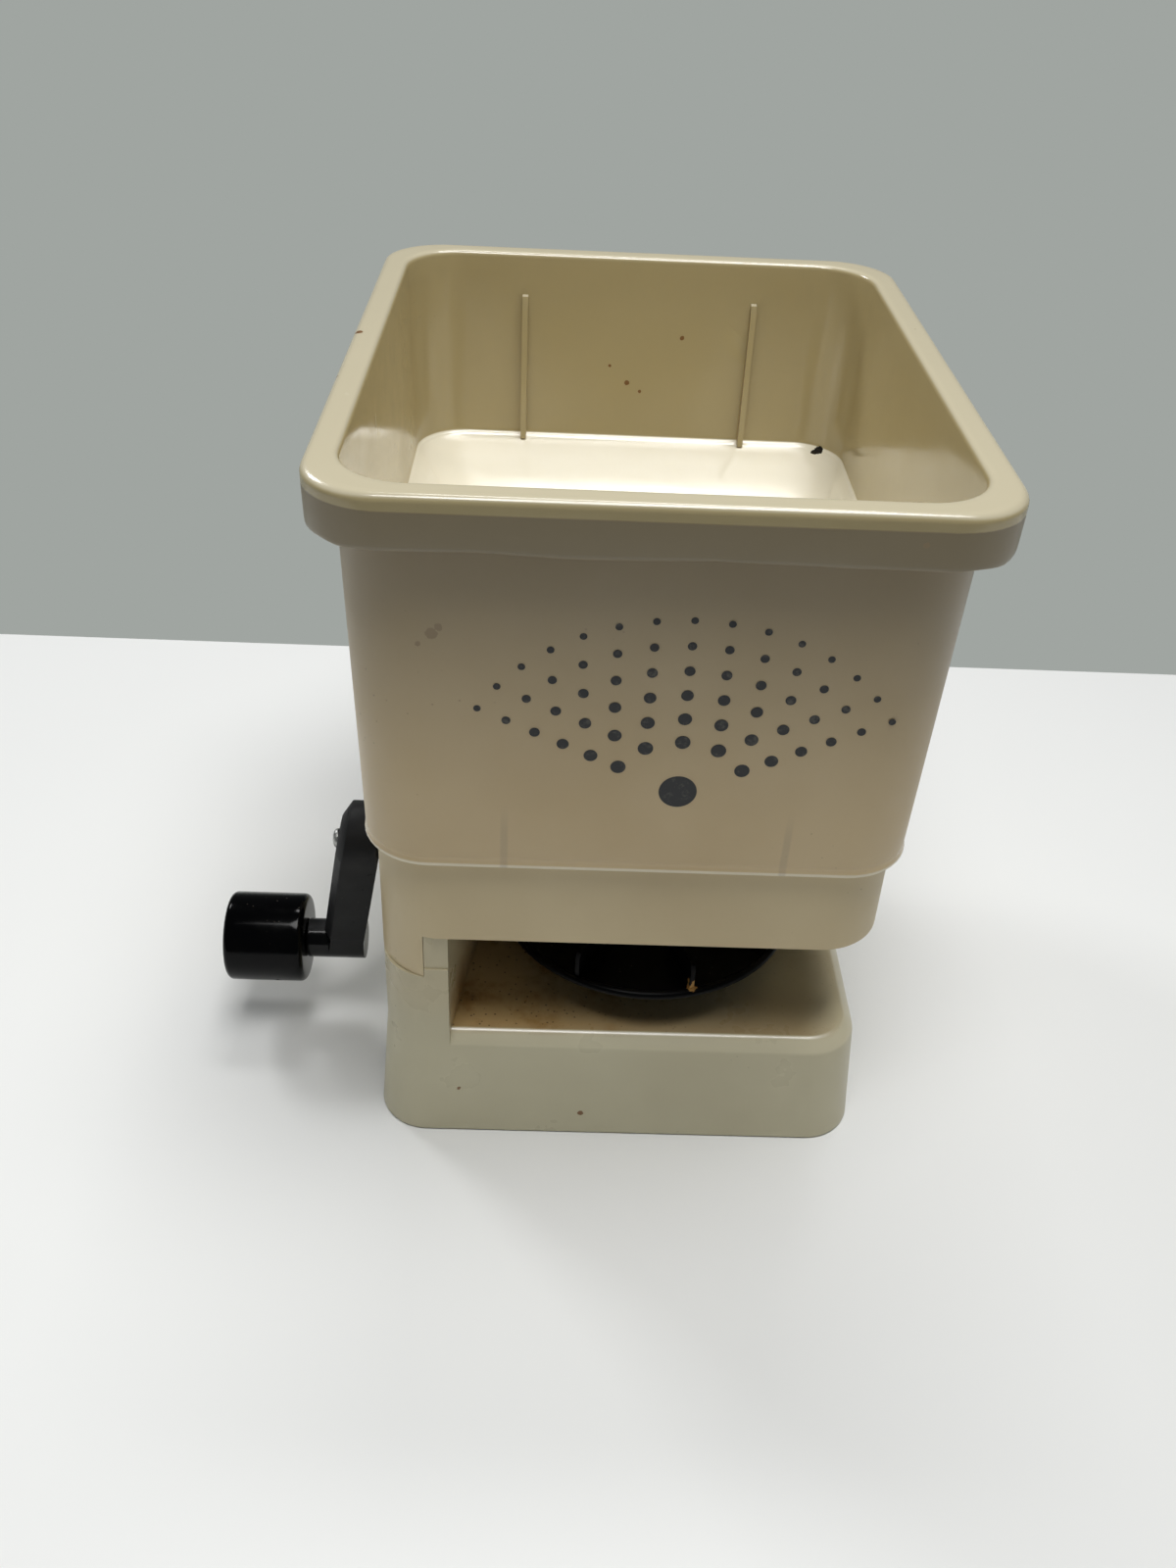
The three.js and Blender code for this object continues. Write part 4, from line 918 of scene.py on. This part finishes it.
def trigger():
    blade = [(68, 96), (64, 95.6), (59.5, 93.6), (56, 91), (53, 87.5), (50.8, 83), (49.4, 77),
             (49, 70), (49.6, 64), (50.6, 58), (49.8, 53), (48, 49.4), (47.6, 47), (48.4, 45.5), (50, 45),
             (52.6, 45.4), (55, 47), (56.6, 51.5), (57.5, 58), (57.1, 64), (56.5, 70), (57.2, 75),
             (59, 79), (62, 81.8), (66, 83), (74, 83.5)]
    arm = [(68.8, 88), (75.2, 88), (74.6, 112.5), (73.6, 115.2), (72.6, 115.6), (71.4, 115.6),
           (70.4, 115.2), (69.4, 112.5)]
    obj = overlap(prism_x("blade", blade[::-1], -6, 6), block(-7, 7, 40, 61, 40, 100))
    join(obj, prism_x("web", blade[::-1], -3.4, 3.4), prism_x("arm", arm[::-1], -3, 3),
         rod_x(-4, 4, PIVOT_Y, PIVOT_Z, 6.8, 48))
    cut(obj, rod_x(-9, 9, PIVOT_Y, PIVOT_Z, 2.3, 32))
    piece(obj, "trigger_lever_moulded", ["trigger"], "trigger_lever", BLACK,
          bevel=0.8, segments=3)


trigger()


# ---------------------------------------------------------------- front motif
INK_LIFT, INK_THICK = 0.06, 0.05


def motif():
    """A printed fan of dots over a round dot, laid on the sloping front wall."""
    bm = bmesh.new()

    def spot(x, z, r, n=20):
        ring = []
        for i in range(n):
            a = 2 * math.pi * i / n
            px, pz = x + r * math.cos(a), z + r * math.sin(a)
            y = -(body_width(pz) + DEPTH_MORE) / 2 - INK_LIFT
            ring.append(bm.verts.new((px * MM, y * MM, pz * MM)))
        bm.faces.new(ring)

    cx, cz = 9.0, 142.0
    spot(cx, cz, 5.2, 40)
    # Six curved rows, each wider and with smaller dots.
    for k in range(1, 7):
        radius = 9 + 7.4 * k
        count = 3 + 2 * k
        for i in range(count):
            a = math.radians(90 + 62 * (2 * i / (count - 1) - 1))
            spot(cx + radius * math.cos(a) * 1.15, cz + radius * math.sin(a), 2.3 - 0.22 * k)
    obj = new_object("front_motif", bm)
    obj.modifiers.new("thick", "SOLIDIFY").thickness = INK_THICK * MM
    obj.data.materials.append(ink())
    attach(obj, "frame")


motif()


# ---------------------------------------------------------------- carried-over CAD nodes
LOOKS = {
    "gear_cover": (GREY_CREAM, 0.3), "gate_plate": (DISC_BLACK, 0.2), "crank_bush": (NATURAL, 0.2),
    "shaft_bush": (NATURAL, 0.2), "crown_wheel": (NATURAL, 0.08), "pinion": (NATURAL, 0.08),
    "lower_bearing": (NATURAL, 0.15), "upper_bearing": (NATURAL, 0.15), "crank_shaft": (STEEL, 0.15),
    "impeller_shaft": (STEEL, 0.15), "trigger_pin": (STEEL, 0.2), "trigger_spring": (STEEL, 0),
}
for node_name, node_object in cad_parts.items():
    look, width = LOOKS.get(node_name, (ZINC, 0.15))
    node_object.data.materials.clear()
    node_object.data.materials.append(look)
    if width:
        modifier = node_object.modifiers.new("edge", "BEVEL")
        modifier.width = width * MM
        modifier.segments = 2
        modifier.limit_method = "ANGLE"
        modifier.angle_limit = math.radians(40)


# ---------------------------------------------------------------- floor, light, camera
FLOOR_BACK, FLOOR_FRONT = 0.214, -0.55  # far and near edges of the floor
FLOOR_SIDE = 1.2
ROOM_TONE, WALL_TONE = srgb(84, 87, 88), srgb(160, 165, 161)


def floor():
    bm = bmesh.new()
    corners = ((-FLOOR_SIDE, FLOOR_FRONT), (FLOOR_SIDE, FLOOR_FRONT),
               (FLOOR_SIDE, FLOOR_BACK), (-FLOOR_SIDE, FLOOR_BACK))
    bm.faces.new([bm.verts.new((x, y, -0.0002)) for x, y in corners])
    obj = new_object("floor", bm)
    n = Nodes("pale_floor")
    tint = n.mix(n.noise(3, 2, 0.5), srgb(237, 238, 237), srgb(233, 234, 233))
    obj.data.materials.append(n.finish(tint, 0.6))


floor()


def area(name, place, target, size, power, colour):
    light = bpy.data.lights.new(name, "AREA")
    light.shape = "RECTANGLE"
    light.size, light.size_y = size
    light.energy = power
    light.color = colour
    obj = bpy.data.objects.new(name, light)
    obj.location = place
    aim = Vector(target) - Vector(place)
    obj.rotation_euler = aim.to_track_quat("-Z", "Y").to_euler()
    bpy.context.scene.collection.objects.link(obj)
    return obj


area("key_overhead", (0.12, -0.28, 1.55), (0.08, -0.24, 0.0), (1.1, 0.5), 18.5, (1.0, 0.995, 0.985))
area("key_back", (0.07, 0.54, 1.50), (0.0, 0.08, 0.15), (0.62, 0.2), 4.8, (1.0, 0.995, 0.985))
area("side_left", (-0.85, 0.75, 1.0), (-0.1, -0.04, 0.0), (0.3, 0.3), 4.5, (0.98, 0.99, 1.0))


def studio():
    """Grey wall behind, seen below the horizon; dim everywhere else."""
    world = bpy.data.worlds.new("studio")
    bpy.context.scene.world = world
    world.use_nodes = True
    tree = world.node_tree
    place = tree.nodes.new("ShaderNodeTexCoord")
    split = tree.nodes.new("ShaderNodeSeparateXYZ")
    tree.links.new(place.outputs["Generated"], split.inputs["Vector"])

    def ramp(output, low, high):
        node = tree.nodes.new("ShaderNodeMapRange")
        node.inputs["From Min"].default_value = low
        node.inputs["From Max"].default_value = high
        tree.links.new(split.outputs[output], node.inputs["Value"])
        return node.outputs["Result"]

    both = tree.nodes.new("ShaderNodeMath")
    both.operation = "MULTIPLY"
    tree.links.new(ramp("Z", 0.05, -0.02), both.inputs[0])
    tree.links.new(ramp("Y", -0.1, 0.2), both.inputs[1])
    mix = tree.nodes.new("ShaderNodeMix")
    mix.data_type = "RGBA"
    mix.inputs[6].default_value = (*ROOM_TONE, 1.0)
    mix.inputs[7].default_value = (*WALL_TONE, 1.0)
    tree.links.new(both.outputs["Value"], mix.inputs[0])
    tree.links.new(mix.outputs[2], tree.nodes["Background"].inputs["Color"])
    tree.nodes["Background"].inputs["Strength"].default_value = 1.0
    bpy.context.scene.view_settings.view_transform = "Standard"


studio()

# Camera: 31.5 mm lens on the frame's 36 mm long side, looking about 36 degrees down.
CAMERA_AT = (-0.0255154, -0.3989689, 0.3608770)
CAMERA_TURN = (0.62679892, -0.01627275, 0.03965809)  # turn from level, as axis times angle
camera = bpy.data.cameras.new("camera")
camera.lens = 31.5
camera.sensor_width = 36
camera.sensor_fit = "AUTO"
camera.clip_start = 0.01
view = bpy.data.objects.new("camera", camera)
bpy.context.scene.collection.objects.link(view)
turn = Vector(CAMERA_TURN)
level = Matrix(((1, 0, 0), (0, 0, -1), (0, 1, 0)))
seen = Matrix.Rotation(turn.length, 3, turn.normalized()) @ level
right, down, forward = seen[0], seen[1], seen[2]
pose = Matrix((right, -down, -forward)).transposed().to_4x4()
pose.translation = Vector(CAMERA_AT)
view.matrix_world = pose
bpy.context.scene.camera = view
